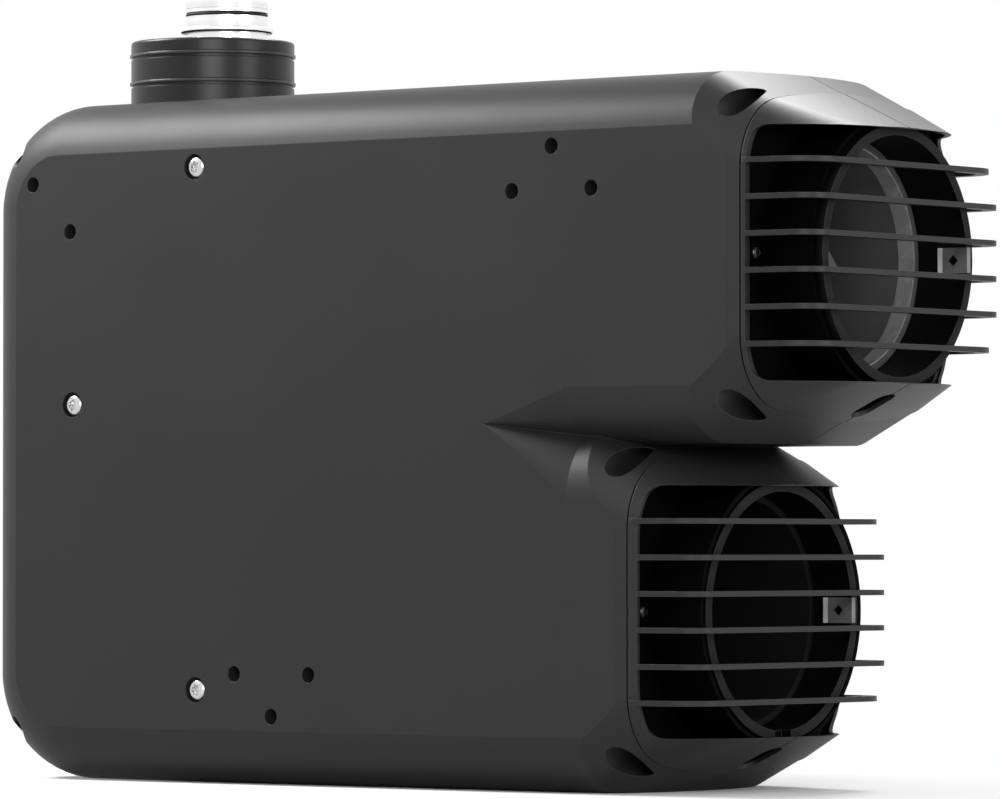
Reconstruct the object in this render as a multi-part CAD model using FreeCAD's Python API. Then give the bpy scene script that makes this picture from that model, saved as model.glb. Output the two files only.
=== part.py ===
import FreeCAD
import Part
import math
import os

# Caravan gas heater, in millimetres.
# X runs along the casing towards the two air openings, Y from front to rear, +Z up.
# The pieces are drawn with X counted from the left end of the casing, and the base at Z 0.
# At the end everything moves so that the origin is the middle of the whole part's length.

# Casing
CASE_HEIGHT = 345.0
CASE_DEPTH = 170.0
CASE_LENGTH = 484.2
TUBE_STAGGER = 66.4
UPPER_AXIS_Z = 256.9
LOWER_AXIS_Z = 87.5
WALL = 3.0
SEAM = 0.3
GROOVE_WIDTH = 0.9
GROOVE_DEPTH = 0.6
BAND_WIDTH = 27.0
BAND_RADIUS = 33.0
END_CORNER_RADIUS = 55.0
UPPER_TUBE_LOW = 167.7
LOWER_TUBE_HIGH = 178.4
NOTCH_RADIUS = 38.0
NOTCH_LENGTH = 52.3
NOTCH_TIP_RISE = 0.697
NOTCH_PROUD = 0.3
NOTCH_PAST = 12.0
SPLIT_LENGTH = 35.8
TAPER_SLOPE = 0.49
SIDE_SLOPE = 0.058
MOUTH_HALF_HEIGHT = 78.6
MOUTH_SIDE_INSET = 0.4
MOUTH_CORNER = 35.3
MOUTH_CROWN = 4.2

# Grilles
GRILLE_GAP = 1.1
GRILLE_WALL = 2.2
UPPER_FRAME_STRIP = 2.0
LOWER_FRAME_STRIP = 5.0
SPIGOT_LENGTH = 4.5
SPIGOT_WALL = 2.0
SPIGOT_CLEARANCE = 0.4
OPENING_HALF_HEIGHT = 60.4
OPENING_CORNER = 5.5
HOOD_REACH = 39.0
HOOD_EDGE = 0.6
HOOD_END_CORNER = 57.0
HOOD_END_CROWN = 1.0
HOOD_CLEARANCE = 0.5
FIN_REACH = 40.3
FIN_DRAFT = 2.4
FIN_DEPTH = 6.5
FIN_THICKNESS = 2.6
FIN_PITCH = 17.3
FIN_COUNT = 6
FIN_CORNER = 15.0
FIN_ROOT = 0.5
OUTER_FIN_CORNER = 24.4
LATCH_LENGTH = 23.0
LATCH_WIDTH = 13.0
LATCH_SETBACK = 4.6
BOSS_CLEARANCE = 0.4
TONGUE_LENGTH = 15.0
TONGUE_WIDTH = 9.0
TONGUE_THICKNESS = 2.0

# Duct collars in the openings
COLLAR_BORE_RADIUS = 57.7
COLLAR_RADIUS = 62.5
PORT_BORE_RADIUS = 64.0
PORT_RADIUS = 66.2
PORT_RIBS = 6
PORT_RIB_HEIGHT = 1.6
PORT_RIB_WIDTH = 1.6
PORT_RIB_SETBACK = 6.0
UPPER_COLLAR_REACH = 32.5
LOWER_COLLAR_REACH = 30.8
UPPER_PORT_SETBACK = 4.0
LOWER_PORT_SETBACK = 0.5
PLATE_SETBACK = 0.5
PLATE_THICKNESS = 1.5
PLATE_CLEARANCE = 0.4
PLATE_GAP = 0.3
COLLAR_FLANGE = 2.5
COLLAR_CLEARANCE = 0.1
DRAIN_WIDTH = 14.0
DRAIN_DEPTH = 6.0
CLIP_HEIGHT = 12.4
CLIP_LENGTH = 15.3
CLIP_THICKNESS = 0.8
CLIP_BEND = 1.8
CLIP_BEND_DROP = 1.4
CLIP_LIP = 2.2
CLIP_HOLE = 4.1
CLIP_HOLE_SETBACK = 7.4

# Circulation fan
DUCT_WALL = 3.4
DUCT_CLEARANCE = 0.3
DUCT_FLANGE = 3.0
NOZZLE_SETBACK = 28.0
FAN_HOUSING_LENGTH = 108.0
FAN_TIP_CLEARANCE = 0.8
FAN_HUB_RADIUS = 42.0
FAN_HUB_WALL = 4.0
FAN_NOSE = 3.0
FAN_HUB_SETBACK = 69.7
FAN_BLADES = 13
FAN_BLADE_THICKNESS = 1.8
FAN_BLADE_SETBACK = 2.0
FAN_ROOT_TURN = 48.0
FAN_TIP_TURN = 62.0
FAN_TIP_NARROWING = 0.12
FAN_TIP_SWEEP = 6.0
FAN_MOTOR_GAP = 1.5
NOZZLE_RING_LENGTH = 9.0
NOZZLE_RING_THICKNESS = 0.8
RING_FIT = 0.05
FAN_MOTOR_RADIUS = 23.0
FAN_MOTOR_LENGTH = 34.0
FAN_SHAFT_RADIUS = 3.0
SHAFT_CLEARANCE = 0.05
BEARING_WALL = 4.0
BEARING_WIDTH = 5.0
MOTOR_WALL = 2.0
MOTOR_AIR_GAP = 1.5
SHAFT_END_GAP = 0.2
CUP_WALL = 2.0
CUP_FIT = 0.2
CUP_DEPTH = 18.0
VANE_COUNT = 5
VANE_LENGTH = 16.0
VANE_THICKNESS = 3.0

# Combustion-air collar and exhaust pipe
FLUE_X = 86.5
AIR_COLLAR_RADIUS = 42.15
AIR_COLLAR_WALL = 3.6
AIR_COLLAR_RISE = 34.0
EXHAUST_OFFSET = 9.5
STUB_RADIUS = 21.2
EXHAUST_RADIUS = 20.6
EXHAUST_WALL = 1.8
EXHAUST_RISE = 54.0
EXHAUST_BEAD_RADIUS = 24.0
EXHAUST_BEAD_DROP = 14.5
EXHAUST_RING_DROP = 6.3
STUB_LINE_DROP = 3.5
STUB_LINE_DEPTH = 0.4
STUB_LINE_WIDTH = 0.7
EXHAUST_BEAD_WIDTH = 3.0
EXHAUST_BEAD_EDGE = 1.3
EXHAUST_RING_WIRE = 0.8
SEAL_ROOM = 0.2
AIR_COLLAR_FLANGE = 4.0
AIR_COLLAR_EDGE = 1.6
FLANGE_CLEARANCE = 0.1
LIP_DROPS = (6.6, 21.0)
LIP_GROOVE_DEPTH = 1.2
LIP_GROOVE_WIDTH = 3.0
LIP_THICKNESS = 1.45
LIP_REACH = 0.7
LIP_FIT = 0.05
HOLE_CLEARANCE = 0.35

# Burner, blower and heat exchanger
EXCHANGER_BORE = 46.0
EXCHANGER_WALL = 4.0
EXCHANGER_FIN_RADIUS = 64.0
EXCHANGER_FINS = 28
EXCHANGER_FIN = 2.2
EXCHANGER_FIN_START = 60.0
EXCHANGER_START = 66.0
EXCHANGER_LENGTH = 254.0
EXCHANGER_FLANGE = 68.0
EXCHANGER_FLANGE_THICKNESS = 6.0
FLANGE_SCREWS = 6
FLANGE_EDGE = 6.0
FLANGE_HEAD_RADIUS = 4.2
SOCKET_CLEARANCE = 0.4
SOCKET_WALL = 3.0
SOCKET_TOP = 172.0
PIPE_BOTTOM = 158.0
BULKHEAD_THICKNESS = 2.0
BULKHEAD_LOW = 15.0
BULKHEAD_HIGH = 156.0
BULKHEAD_CORNER_Y = 66.0
BULKHEAD_CORNER_Z = 27.0
GASKET_THICKNESS = 1.5
SEAL_FIT = 0.1
BLOWER_RADIUS = 36.0
BLOWER_WALL = 2.0
BLOWER_DEPTH = 24.0
BLOWER_MOTOR_RADIUS = 20.0
BLOWER_MOTOR_LENGTH = 26.0
BLOWER_SHAFT_RADIUS = 2.0
BLOWER_BLADES = 16
COVER_HUB_RADIUS = 5.0
COVER_EYE_RADIUS = 15.0
COVER_SPOKE = 3.0
WHEEL_TIP_GAP = 3.0
WHEEL_SIDE_GAP = 1.2
WHEEL_DISC = 1.5
WHEEL_HUB = 7.0
WHEEL_CHORD = 12.0
WHEEL_BLADE = 1.2
WHEEL_BLADE_TURN = 35.0
WHEEL_RIM = 1.2
BURNER_RADIUS = 20.0
BURNER_LENGTH = 110.0
BURNER_WALL = 1.2
BURNER_CAP = 2.0
BURNER_FOOT = 5.0
BURNER_LEDGE = 3.0
SLOT_ROWS = 6
SLOTS_ACROSS = 4
SLOT_START = 22.0
SLOT_PITCH = 14.0
SLOT_LENGTH = 8.0
SLOT_WIDTH = 2.4
FLAME_TUBE_RADIUS = 36.0
FLAME_TUBE_LENGTH = 225.0
FLAME_TUBE_WALL = 1.5
FLAME_TUBE_FOOT = 6.0
ELECTRODE_INSET = 16.0
ELECTRODE_SPREAD = 11.0
ELECTRODE_BOSS = 6.5
IGNITION_REACH = 12.0
SENSING_REACH = 8.0
INSULATOR_RADIUS = 3.0
INSULATOR_FIT = 0.1
INSULATOR_HEAD = 4.0
INSULATOR_COLLAR = 5.0
INSULATOR_FLANGE = 1.5
WIRE_RADIUS = 0.9
WIRE_TAIL = 2.0
THERMOSTAT_RADIUS = 8.0
THERMOSTAT_HEIGHT = 6.0
THERMOSTAT_CAP_RADIUS = 6.0
THERMOSTAT_CAP_HEIGHT = 3.0
TAB_LENGTH = 7.0
TAB_WIDTH = 6.0
TAB_THICKNESS = 0.8
TAB_SPREAD = 4.4
OUTLET_DUCT_LENGTH = 68.0
OUTLET_DUCT_SETBACK = 22.2
SENSOR_SETBACK = 40.0
SENSOR_RADIUS = 4.0
SENSOR_HEIGHT = 5.0
STALK_RADIUS = 2.0
STALK_LENGTH = 12.0
PLENUM_RADIUS = 46.0
PLENUM_WALL = 2.5
PLENUM_BOTTOM = 296.0
PLENUM_TOP = 338.0
DUCT_HALF_WIDTH = 20.0
DUCT_DEPTH = 16.0
DUCT_OFFSET = 1.0
SPOUT_WALL = 1.6
SPOUT_LENGTH = 8.0
SPOUT_FIT = 0.2
INLET_TOP = 142.0

# Gas train
GAS_PIPE_RADIUS = 4.0
GAS_PIPE_WALL = 1.0
GAS_PIPE_Y = 30.0
GAS_PIPE_Z = 205.0
GAS_STUB = 22.0
GAS_STOP = 2.0
STOP_REACH = 0.8
STOP_WIDTH = 1.4
GAS_PIPE_SEAT = 9.0
PIPE_NUT_RADIUS = 7.5
PIPE_NUT_LENGTH = 6.0
VALVE_LENGTH = 62.0
VALVE_WIDTH = 40.0
VALVE_HEIGHT = 40.0
VALVE_START = 168.0
VALVE_EDGE = 4.0
CORE_WALL = 1.6
CORE_TAIL = 6.0
COIL_RADIUS = 14.0
COIL_LENGTH = 36.0
COIL_PITCH = 32.0
COIL_FIT = 0.1
COIL_TAB_LOW = 4.0
COIL_TAB_HEIGHT = 12.0
COIL_TAB_WIDTH = 10.0
COIL_TAB_REACH = 4.0
PLUNGER_RADIUS = 4.0
PLUNGER_LENGTH = 26.0
PLUNGER_TRAVEL = 2.0
PLUNGER_SEAT = 6.0
PLUNGER_CLEARANCE = 0.08
SPRING_WIRE = 0.4
SPRING_RADIUS = 2.4
SPRING_SQUEEZED = 7.0
SPRING_TURNS = 6
SPRING_FIT = 0.05
FEED_PIPE_RADIUS = 3.0
FEED_PIPE_Z = 160.0
FEED_BEND = 9.0
FEED_PORT = 14.0
FEED_SEAT = 7.0
FEED_DROP = 2.0
FEED_OFFSET = 8.0
FEED_LAST_RUN = 30.0
JET_WALL = 1.0
JET_FIT = 0.1
JET_LENGTH = 5.0
JET_HEAD = 4.2
JET_HEAD_RADIUS = 6.0
JET_BORE = 0.8

# Rubber grommets in the left wall
GROMMET_NECK = 3.0
GROMMET_LIP = 2.5
GROMMET_REACH = 1.5
GROMMET_CLEARANCE = 0.1
CABLE_RADIUS = 5.0
CABLE_Y = 30.0
CABLE_Z = 145.0

# Control unit
BOARD_X = 245.0
BOARD_LENGTH = 130.0
BOARD_LOW = 190.0
BOARD_HEIGHT = 115.0
BOARD_SETBACK = 29.0
BOARD_THICKNESS = 1.6
BOARD_EDGE = 6.0
BOARD_HOLE_RADIUS = 1.7
BOARD_HEAD_RADIUS = 3.0
BOARD_HEAD_HEIGHT = 2.0
POST_RADIUS = 4.0
POST_PILOT_RADIUS = 1.25
POST_PILOT_DEPTH = 14.0
COVER_DEPTH = 24.0
COVER_WALL = 2.0
COVER_OVERLAP = 3.0
COVER_CORNER = 2.5
VENT_COUNT = 8
VENT_START = 20.0
VENT_PITCH = 12.0
VENT_WIDTH = 4.0
VENT_LOW = 96.0
VENT_HEIGHT = 14.0
CABLE_GAP_START = 10.0
CABLE_GAP_END = 100.0
RELAY_PLACES = (16.0, 40.0, 64.0)
RELAY_LOW = 76.0
RELAY_LENGTH = 18.0
RELAY_WIDTH = 14.0
RELAY_HEIGHT = 15.0
COIL_BLOCK_X = 88.0
COIL_BLOCK_LOW = 40.0
COIL_BLOCK = 28.0
COIL_BLOCK_HEIGHT = 18.0
CAPACITOR_PLACES = (24.0, 42.0)
CAPACITOR_LEVEL = 52.0
CAPACITOR_RADIUS = 6.5
CAPACITOR_HEIGHT = 17.0
CONNECTOR_PLACES = (14.0, 36.0, 58.0, 80.0)
CONNECTOR_LOW = 12.0
CONNECTOR_LENGTH = 16.0
CONNECTOR_WIDTH = 12.0
CONNECTOR_HEIGHT = 10.0
CONNECTOR_WALL = 1.5
CONNECTOR_BASE = 4.0

# Fasteners and their places
HEAD_RADIUS = 5.4
HEAD_HEIGHT = 3.0
HEAD_EDGE = 0.9
CORNER_HEAD_RADIUS = 4.6
RECESS_DEPTH = 1.8
STAR_WAIST = 0.7
SHANK_RADIUS = 2.4
SHANK_CLEARANCE = 0.2
THREAD_FIT = 0.05
FRONT_COUNTERBORE = 6.5
FRONT_COUNTERBORE_DEPTH = 3.4
FRONT_BOSS = 9.0
FRONT_BOSS_LENGTH = 14.0
CHASSIS_LEFT = 50.0
CHASSIS_RIGHT = 165.0
CHASSIS_LOW = 34.0
CHASSIS_HIGH = 322.0
CHASSIS_THICKNESS = 1.5
CHASSIS_CLEARANCE = 0.3
NUT_RADIUS = 5.0
NUT_HEIGHT = 4.0
WINDOW_HALF_LENGTH = 14.0
WINDOW_HALF_HEIGHT = 26.0
FRONT_SCREWS = ((147.1, 308.8), (65.4, 190.6), (148.1, 47.0))
BRACKET_HOLE_RADIUS = 4.0
BRACKET_HOLE_DEPTH = 12.0
BRACKET_BOSS_WALL = 2.5
BRACKET_BOSS_FLOOR = 2.0
BRACKET_SPACING = 48.0
BRACKET_OFFSET = 20.9
UPPER_BRACKET = (373.1, 289.9)
LOWER_BRACKET = (197.6, 55.3)
LOCATING_HOLES = ((38.5, 303.5), (63.9, 278.7))
POCKET_RADIUS = 7.2
POCKET_WALL = 1.4
POCKET_BASE = 4.0
POCKET_DEPTH = 59.0
POCKET_SETBACK = 10.7
POCKET_OFFSET = 71.5
COLUMN_RADIUS = 6.0
LEFT_POCKET_X = 19.0
LEFT_POCKET_EDGE = 25.0
PILOT_DEPTH = 30.0
SCREW_END_GAP = 6.0
PORT_SCREW_INSET = 13.1
PORT_SHANK_RADIUS = 1.4
PORT_SHANK_LENGTH = 11.0
PORT_HOLE_CLEARANCE = 0.3
PORT_HEAD_RADIUS = 3.0
PORT_HEAD_HEIGHT = 2.2
PORT_HEAD_CLEARANCE = 0.2
PORT_RECESS_RADIUS = 1.2
PORT_RECESS_DEPTH = 1.0
PORT_PILOT_RADIUS = 1.45
PORT_PILOT_DEPTH = 12.0
PAD_LENGTH = 16.0
PAD_HEIGHT = 16.0
PAD_LIP = 5.0
RIB_THICKNESS = 2.5
RIB_CLEARANCE = 0.3
RIB_DEPTH = 5.0
RIB_HEIGHT = 20.0
RIB_LEVELS = (30.0, 130.0)

# Margins of the drawing itself
PAST = 1.0
ROOT = 0.5
TINY = 0.01
FAR = 300.0

HALF_DEPTH = CASE_DEPTH / 2
MOUTH_HALF_WIDTH = HALF_DEPTH - MOUTH_SIDE_INSET
FRONT_BOSS_END = HALF_DEPTH - FRONT_BOSS_LENGTH
POCKET_FLOOR = HALF_DEPTH - POCKET_DEPTH
PORT_SCREW_Y = MOUTH_HALF_WIDTH - PORT_SCREW_INSET
PLATE_INSET = WALL + SPIGOT_CLEARANCE + SPIGOT_WALL + PLATE_CLEARANCE
PLATE_HALF_WIDTH = MOUTH_HALF_WIDTH - PLATE_INSET
BOARD_Y = HALF_DEPTH - BOARD_SETBACK
BAND_CENTRE = math.sqrt(BAND_RADIUS ** 2 - (BAND_RADIUS - BAND_WIDTH) ** 2)
SPRING_LENGTH = SPRING_SQUEEZED + PLUNGER_TRAVEL
AIR_COLLAR_TOP = CASE_HEIGHT + AIR_COLLAR_RISE
EXHAUST_TOP = CASE_HEIGHT + EXHAUST_RISE
EXHAUST_BEAD_Z = EXHAUST_TOP - EXHAUST_BEAD_DROP
EXHAUST_RING_Z = EXHAUST_TOP - EXHAUST_RING_DROP
STUB_LINE_Z = EXHAUST_TOP - STUB_LINE_DROP
LIP_HEIGHTS = [AIR_COLLAR_TOP - drop for drop in LIP_DROPS]
LOWER_LENGTH = CASE_LENGTH - TUBE_STAGGER
SPLIT_X = LOWER_LENGTH - SPLIT_LENGTH
EXHAUST_X = FLUE_X + EXHAUST_OFFSET
FAN_RADIUS = COLLAR_BORE_RADIUS - DUCT_CLEARANCE - DUCT_WALL
INNER_HALF_DEPTH = HALF_DEPTH - WALL


def vec(x, y, z):
    return FreeCAD.Vector(x, y, z)


def box(x0, x1, y0, y1, z0, z1):
    return Part.makeBox(x1 - x0, y1 - y0, z1 - z0, vec(x0, y0, z0))


def rod_x(y, z, radius, x0, x1):
    return Part.makeCylinder(radius, x1 - x0, vec(x0, y, z), vec(1, 0, 0))


def rod_y(x, z, radius, y0, y1):
    return Part.makeCylinder(radius, y1 - y0, vec(x, y0, z), vec(0, 1, 0))


def rod_z(x, y, radius, z0, z1):
    return Part.makeCylinder(radius, z1 - z0, vec(x, y, z0), vec(0, 0, 1))


def ring_x(y, z, bore, radius, x0, x1):
    return rod_x(y, z, radius, x0, x1).cut(rod_x(y, z, bore, x0 - PAST, x1 + PAST))


def ring_z(x, y, bore, radius, z0, z1):
    return rod_z(x, y, radius, z0, z1).cut(rod_z(x, y, bore, z0 - PAST, z1 + PAST))


def join(shapes):
    first = shapes[0]
    if len(shapes) == 1:
        return first
    return first.fuse(shapes[1:]).removeSplitter()


def mirrored(shape):
    """The same shape on the other side of the seam plane."""
    return shape.mirror(vec(0, 0, 0), vec(0, 1, 0))


def front_half(shape):
    return shape.common(box(-FAR, 3 * FAR, -FAR, -SEAM / 2, -FAR, 2 * FAR))


def rear_half(shape):
    return shape.common(box(-FAR, 3 * FAR, SEAM / 2, FAR, -FAR, 2 * FAR))


class Corner:
    """A rounded corner of a section: its radius, and how far its centre is from the side."""

    def __init__(self, radius, inset):
        self.radius = radius
        self.inset = inset

    def shrunk(self, wall):
        return Corner(self.radius - wall, self.inset - wall)

    def towards(self, other, share):
        radius = self.radius + (other.radius - self.radius) * share
        inset = self.inset + (other.inset - self.inset) * share
        return Corner(radius, inset)


BAND = Corner(BAND_RADIUS, BAND_CENTRE)
NOTCH = Corner(NOTCH_RADIUS, NOTCH_RADIUS)
MOUTH = Corner(MOUTH_CORNER, MOUTH_CORNER)
HOOD_END = Corner(HOOD_END_CORNER, HOOD_END_CORNER)


def corner_lean(half, corner, crown):
    """How far a crowned top leans where it runs into its corner."""
    if crown == 0:
        return 0.0
    across = half - corner.inset
    rise = crown + corner.radius
    top_radius = (across ** 2 + rise ** 2 - corner.radius ** 2) / (2 * crown)
    return math.atan2(across, top_radius - rise)


def corner_arc(half, edge, corner, up, crown):
    """Points of one corner: on the side, on the arc, and where the top or bottom begins."""
    centre_y = half - corner.inset
    centre_z = edge - up * (crown + corner.radius)
    start = math.acos(corner.inset / corner.radius)
    end = math.pi / 2 - corner_lean(half, corner, crown)
    points = []
    for angle in (start, (start + end) / 2, end):
        y = centre_y + corner.radius * math.cos(angle)
        z = centre_z + up * corner.radius * math.sin(angle)
        points.append((y, z))
    return points


def section(x, low, high, half, low_corner, high_corner, crown=0.0):
    """Closed outline of a tube of the casing, in the plane at x."""
    top = corner_arc(half, high, high_corner, 1, crown)
    bottom = corner_arc(half, low, low_corner, -1, crown)

    def at(point, side):
        return vec(x, side * point[0], point[1])

    def arc(points, side):
        return Part.Arc(*[at(point, side) for point in points]).toShape()

    def flat(point, edge, side):
        if crown == 0:
            return Part.makeLine(at(point, side), at(point, -side))
        return Part.Arc(at(point, side), vec(x, 0, edge), at(point, -side)).toShape()

    edges = [
        flat(bottom[2], low, -1),
        arc(bottom[::-1], 1),
        Part.makeLine(at(bottom[0], 1), at(top[0], 1)),
        arc(top, 1),
        flat(top[2], high, 1),
        arc(top[::-1], -1),
        Part.makeLine(at(top[0], -1), at(bottom[0], -1)),
        arc(bottom, -1),
    ]
    return Part.Wire(edges)


def loft(wires):
    return Part.makeLoft(wires, True, True)


def mouth_section(x, axis_z, grow, widen, inset):
    """The crowned outline of a tube's opening, higher by grow and wider by widen, less inset."""
    half_height = MOUTH_HALF_HEIGHT + grow - inset
    corner = MOUTH.shrunk(inset)
    return section(x, axis_z - half_height, axis_z + half_height, MOUTH_HALF_WIDTH + widen - inset,
                   corner, corner, MOUTH_CROWN)


def mouth_block(x0, x1, axis_z, inset):
    """A straight block with the outline of a tube's opening, moved inwards by inset."""
    return loft([mouth_section(x, axis_z, 0.0, 0.0, inset) for x in (x0, x1)])


def taper(end, axis_z, wall):
    """The cone that trims the end of a tube down to its opening."""
    back = SPLIT_X - 1
    run = end - back
    return loft([mouth_section(back, axis_z, TAPER_SLOPE * run, SIDE_SLOPE * run, wall),
                 mouth_section(end, axis_z, 0.0, 0.0, wall)])


def tube(end, low, high, low_corner, high_corner, wall):
    """The straight run of a tube, from where the two tubes part to its end."""
    half = HALF_DEPTH - wall
    low_now = low_corner.shrunk(wall)
    high_now = high_corner.shrunk(wall)
    return loft([section(x, low + wall, high - wall, half, low_now, high_now)
                 for x in (SPLIT_X, end)])


def main_block(wall):
    """The left part of the casing, with its band along the top, the left end and the base."""
    radius = BAND_RADIUS - wall
    reach = HALF_DEPTH - BAND_CENTRE + radius
    corner = END_CORNER_RADIUS - wall
    low = wall
    high = CASE_HEIGHT - wall
    left = wall
    diagonal = corner * (1 - math.sqrt(0.5))
    edges = [
        Part.makeLine(vec(SPLIT_X, -reach, high), vec(left + corner, -reach, high)),
        Part.Arc(vec(left + corner, -reach, high), vec(left + diagonal, -reach, high - diagonal),
                 vec(left, -reach, high - corner)).toShape(),
        Part.makeLine(vec(left, -reach, high - corner), vec(left, -reach, low + corner)),
        Part.Arc(vec(left, -reach, low + corner), vec(left + diagonal, -reach, low + diagonal),
                 vec(left + corner, -reach, low)).toShape(),
        Part.makeLine(vec(left + corner, -reach, low), vec(SPLIT_X, -reach, low)),
        Part.makeLine(vec(SPLIT_X, -reach, low), vec(SPLIT_X, -reach, high)),
    ]
    block = Part.Face(Part.Wire(edges)).extrude(vec(0, 2 * reach, 0))
    rims = []
    for edge in block.Edges:
        bounds = edge.BoundBox
        on_side = bounds.YLength < TINY
        at_cut = bounds.XMin > SPLIT_X - TINY
        if on_side and not at_cut:
            rims.append(edge)
    block = block.makeFillet(radius, rims)
    half = HALF_DEPTH - wall
    return block.common(box(-PAST, CASE_LENGTH, -half, half, -PAST, CASE_HEIGHT + PAST))


def notch(wall):
    """The wedge that opens between the two tubes, on the front, as a cone from its tip."""
    half = HALF_DEPTH - wall
    lower = NOTCH.shrunk(wall)
    upper = BAND.shrunk(wall)
    lower_y = half - lower.inset
    lower_z = LOWER_TUBE_HIGH - NOTCH_RADIUS
    upper_y = half - upper.inset
    upper_z = UPPER_TUBE_LOW + BAND_RADIUS
    gap_y = upper_y - lower_y
    gap_z = upper_z - lower_z
    distance = math.hypot(gap_y, gap_z)
    along = (distance ** 2 + lower.radius ** 2 - upper.radius ** 2) / (2 * distance)
    across = math.sqrt(lower.radius ** 2 - along ** 2)
    valley_y = lower_y + (along * gap_y + across * gap_z) / distance
    valley_z = lower_z + (along * gap_z - across * gap_y) / distance

    def lower_point(angle):
        return (lower_y + lower.radius * math.cos(angle), lower_z + lower.radius * math.sin(angle))

    def upper_point(angle):
        return (upper_y + upper.radius * math.cos(angle), upper_z + upper.radius * math.sin(angle))

    lower_valley = math.atan2(valley_z - lower_z, valley_y - lower_y)
    upper_valley = math.atan2(valley_z - upper_z, valley_y - upper_y)
    upper_side = -math.acos(upper.inset / upper.radius)
    start = lower_point(0)
    end = upper_point(upper_side)
    lower_middle = lower_point(lower_valley / 2)
    upper_middle = upper_point((upper_valley + upper_side) / 2)
    outside = half + NOTCH_PAST

    def at(point):
        return vec(SPLIT_X, -point[0], point[1])

    valley = at((valley_y, valley_z))
    edges = [
        Part.Arc(at(start), at(lower_middle), valley).toShape(),
        Part.Arc(valley, at(upper_middle), at(end)).toShape(),
        Part.makeLine(at(end), at((outside, end[1]))),
        Part.makeLine(at((outside, end[1])), at((outside, start[1]))),
        Part.makeLine(at((outside, start[1])), at(start)),
    ]
    tip_z = start[1] + (end[1] - start[1]) * NOTCH_TIP_RISE
    tip = Part.Vertex(vec(SPLIT_X - NOTCH_LENGTH - wall, -half - NOTCH_PROUD, tip_z))
    return Part.makeLoft([tip, Part.Wire(edges)], True, True)


def envelope(wall):
    """The outside of the casing, moved inwards by wall."""
    wedge = notch(wall)
    left = main_block(wall).cut([wedge, mirrored(wedge)])
    upper = tube(CASE_LENGTH, UPPER_TUBE_LOW, CASE_HEIGHT, BAND, BAND, wall)
    lower = tube(LOWER_LENGTH, 0.0, LOWER_TUBE_HIGH, BAND, NOTCH, wall)
    return join([left, upper.common(taper(CASE_LENGTH, UPPER_AXIS_Z, wall)),
                 lower.common(taper(LOWER_LENGTH, LOWER_AXIS_Z, wall))])


TUBES = ((CASE_LENGTH, UPPER_AXIS_Z), (LOWER_LENGTH, LOWER_AXIS_Z))


def seam_groove(x0, x1, core):
    """What the groove along the parting line takes off the outside of a body round its core."""
    half = GROOVE_WIDTH / 2
    return box(x0, x1, -half, half, -FAR, 2 * FAR).cut(core)


def mouth_cut(end, axis_z):
    """What opens the shells at the end of a tube."""
    return mouth_block(end - WALL, end + PAST, axis_z, WALL)


def corner_places():
    """The six long screws that hold the two shells together."""
    places = []
    for end, axis_z in TUBES:
        places.append((end - POCKET_SETBACK, axis_z + POCKET_OFFSET))
        places.append((end - POCKET_SETBACK, axis_z - POCKET_OFFSET))
    places.append((LEFT_POCKET_X, CASE_HEIGHT - LEFT_POCKET_EDGE))
    places.append((LEFT_POCKET_X, LEFT_POCKET_EDGE))
    return places


def bracket_holes():
    """The two triangles of holes that take the mounting brackets, and two locating holes."""
    upper_x, upper_z = UPPER_BRACKET
    lower_x, lower_z = LOWER_BRACKET
    half = BRACKET_SPACING / 2
    places = [
        (upper_x - half, upper_z),
        (upper_x + half, upper_z),
        (upper_x, upper_z + BRACKET_OFFSET),
        (lower_x - half, lower_z),
        (lower_x + half, lower_z),
        (lower_x, lower_z - BRACKET_OFFSET),
    ]
    return places + list(LOCATING_HOLES)


def side_pads():
    """Pads inside the side walls that the port plates are screwed to."""
    pads = []
    half = PAD_HEIGHT / 2
    for end, axis_z in TUBES:
        face = end - PLATE_SETBACK - PLATE_THICKNESS
        pad = box(face - PAD_LENGTH, face, -INNER_HALF_DEPTH - ROOT, -PORT_SCREW_Y + PAD_LIP,
                  axis_z - half, axis_z + half)
        spigot_room = box(end - SPIGOT_LENGTH - BOSS_CLEARANCE, end, -FAR, -PLATE_HALF_WIDTH,
                          axis_z - half - PAST, axis_z + half + PAST)
        pilot = rod_x(-PORT_SCREW_Y, axis_z, PORT_PILOT_RADIUS, face - PORT_PILOT_DEPTH, face + PAST)
        pads.append(pad.cut([spigot_room, pilot]))
    return pads


def bulkhead_ribs():
    """Ribs on the inside of the shells that the burner bulkhead stands between."""
    plate_x = EXCHANGER_START - GASKET_THICKNESS - BULKHEAD_THICKNESS
    ribs = []
    before = plate_x - RIB_CLEARANCE - RIB_THICKNESS
    behind = plate_x + BULKHEAD_THICKNESS + RIB_CLEARANCE
    for x0 in (before, behind):
        for z in RIB_LEVELS:
            ribs.append(box(x0, x0 + RIB_THICKNESS, -INNER_HALF_DEPTH - ROOT,
                            -INNER_HALF_DEPTH + RIB_DEPTH, z, z + RIB_HEIGHT))
    return ribs


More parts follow.
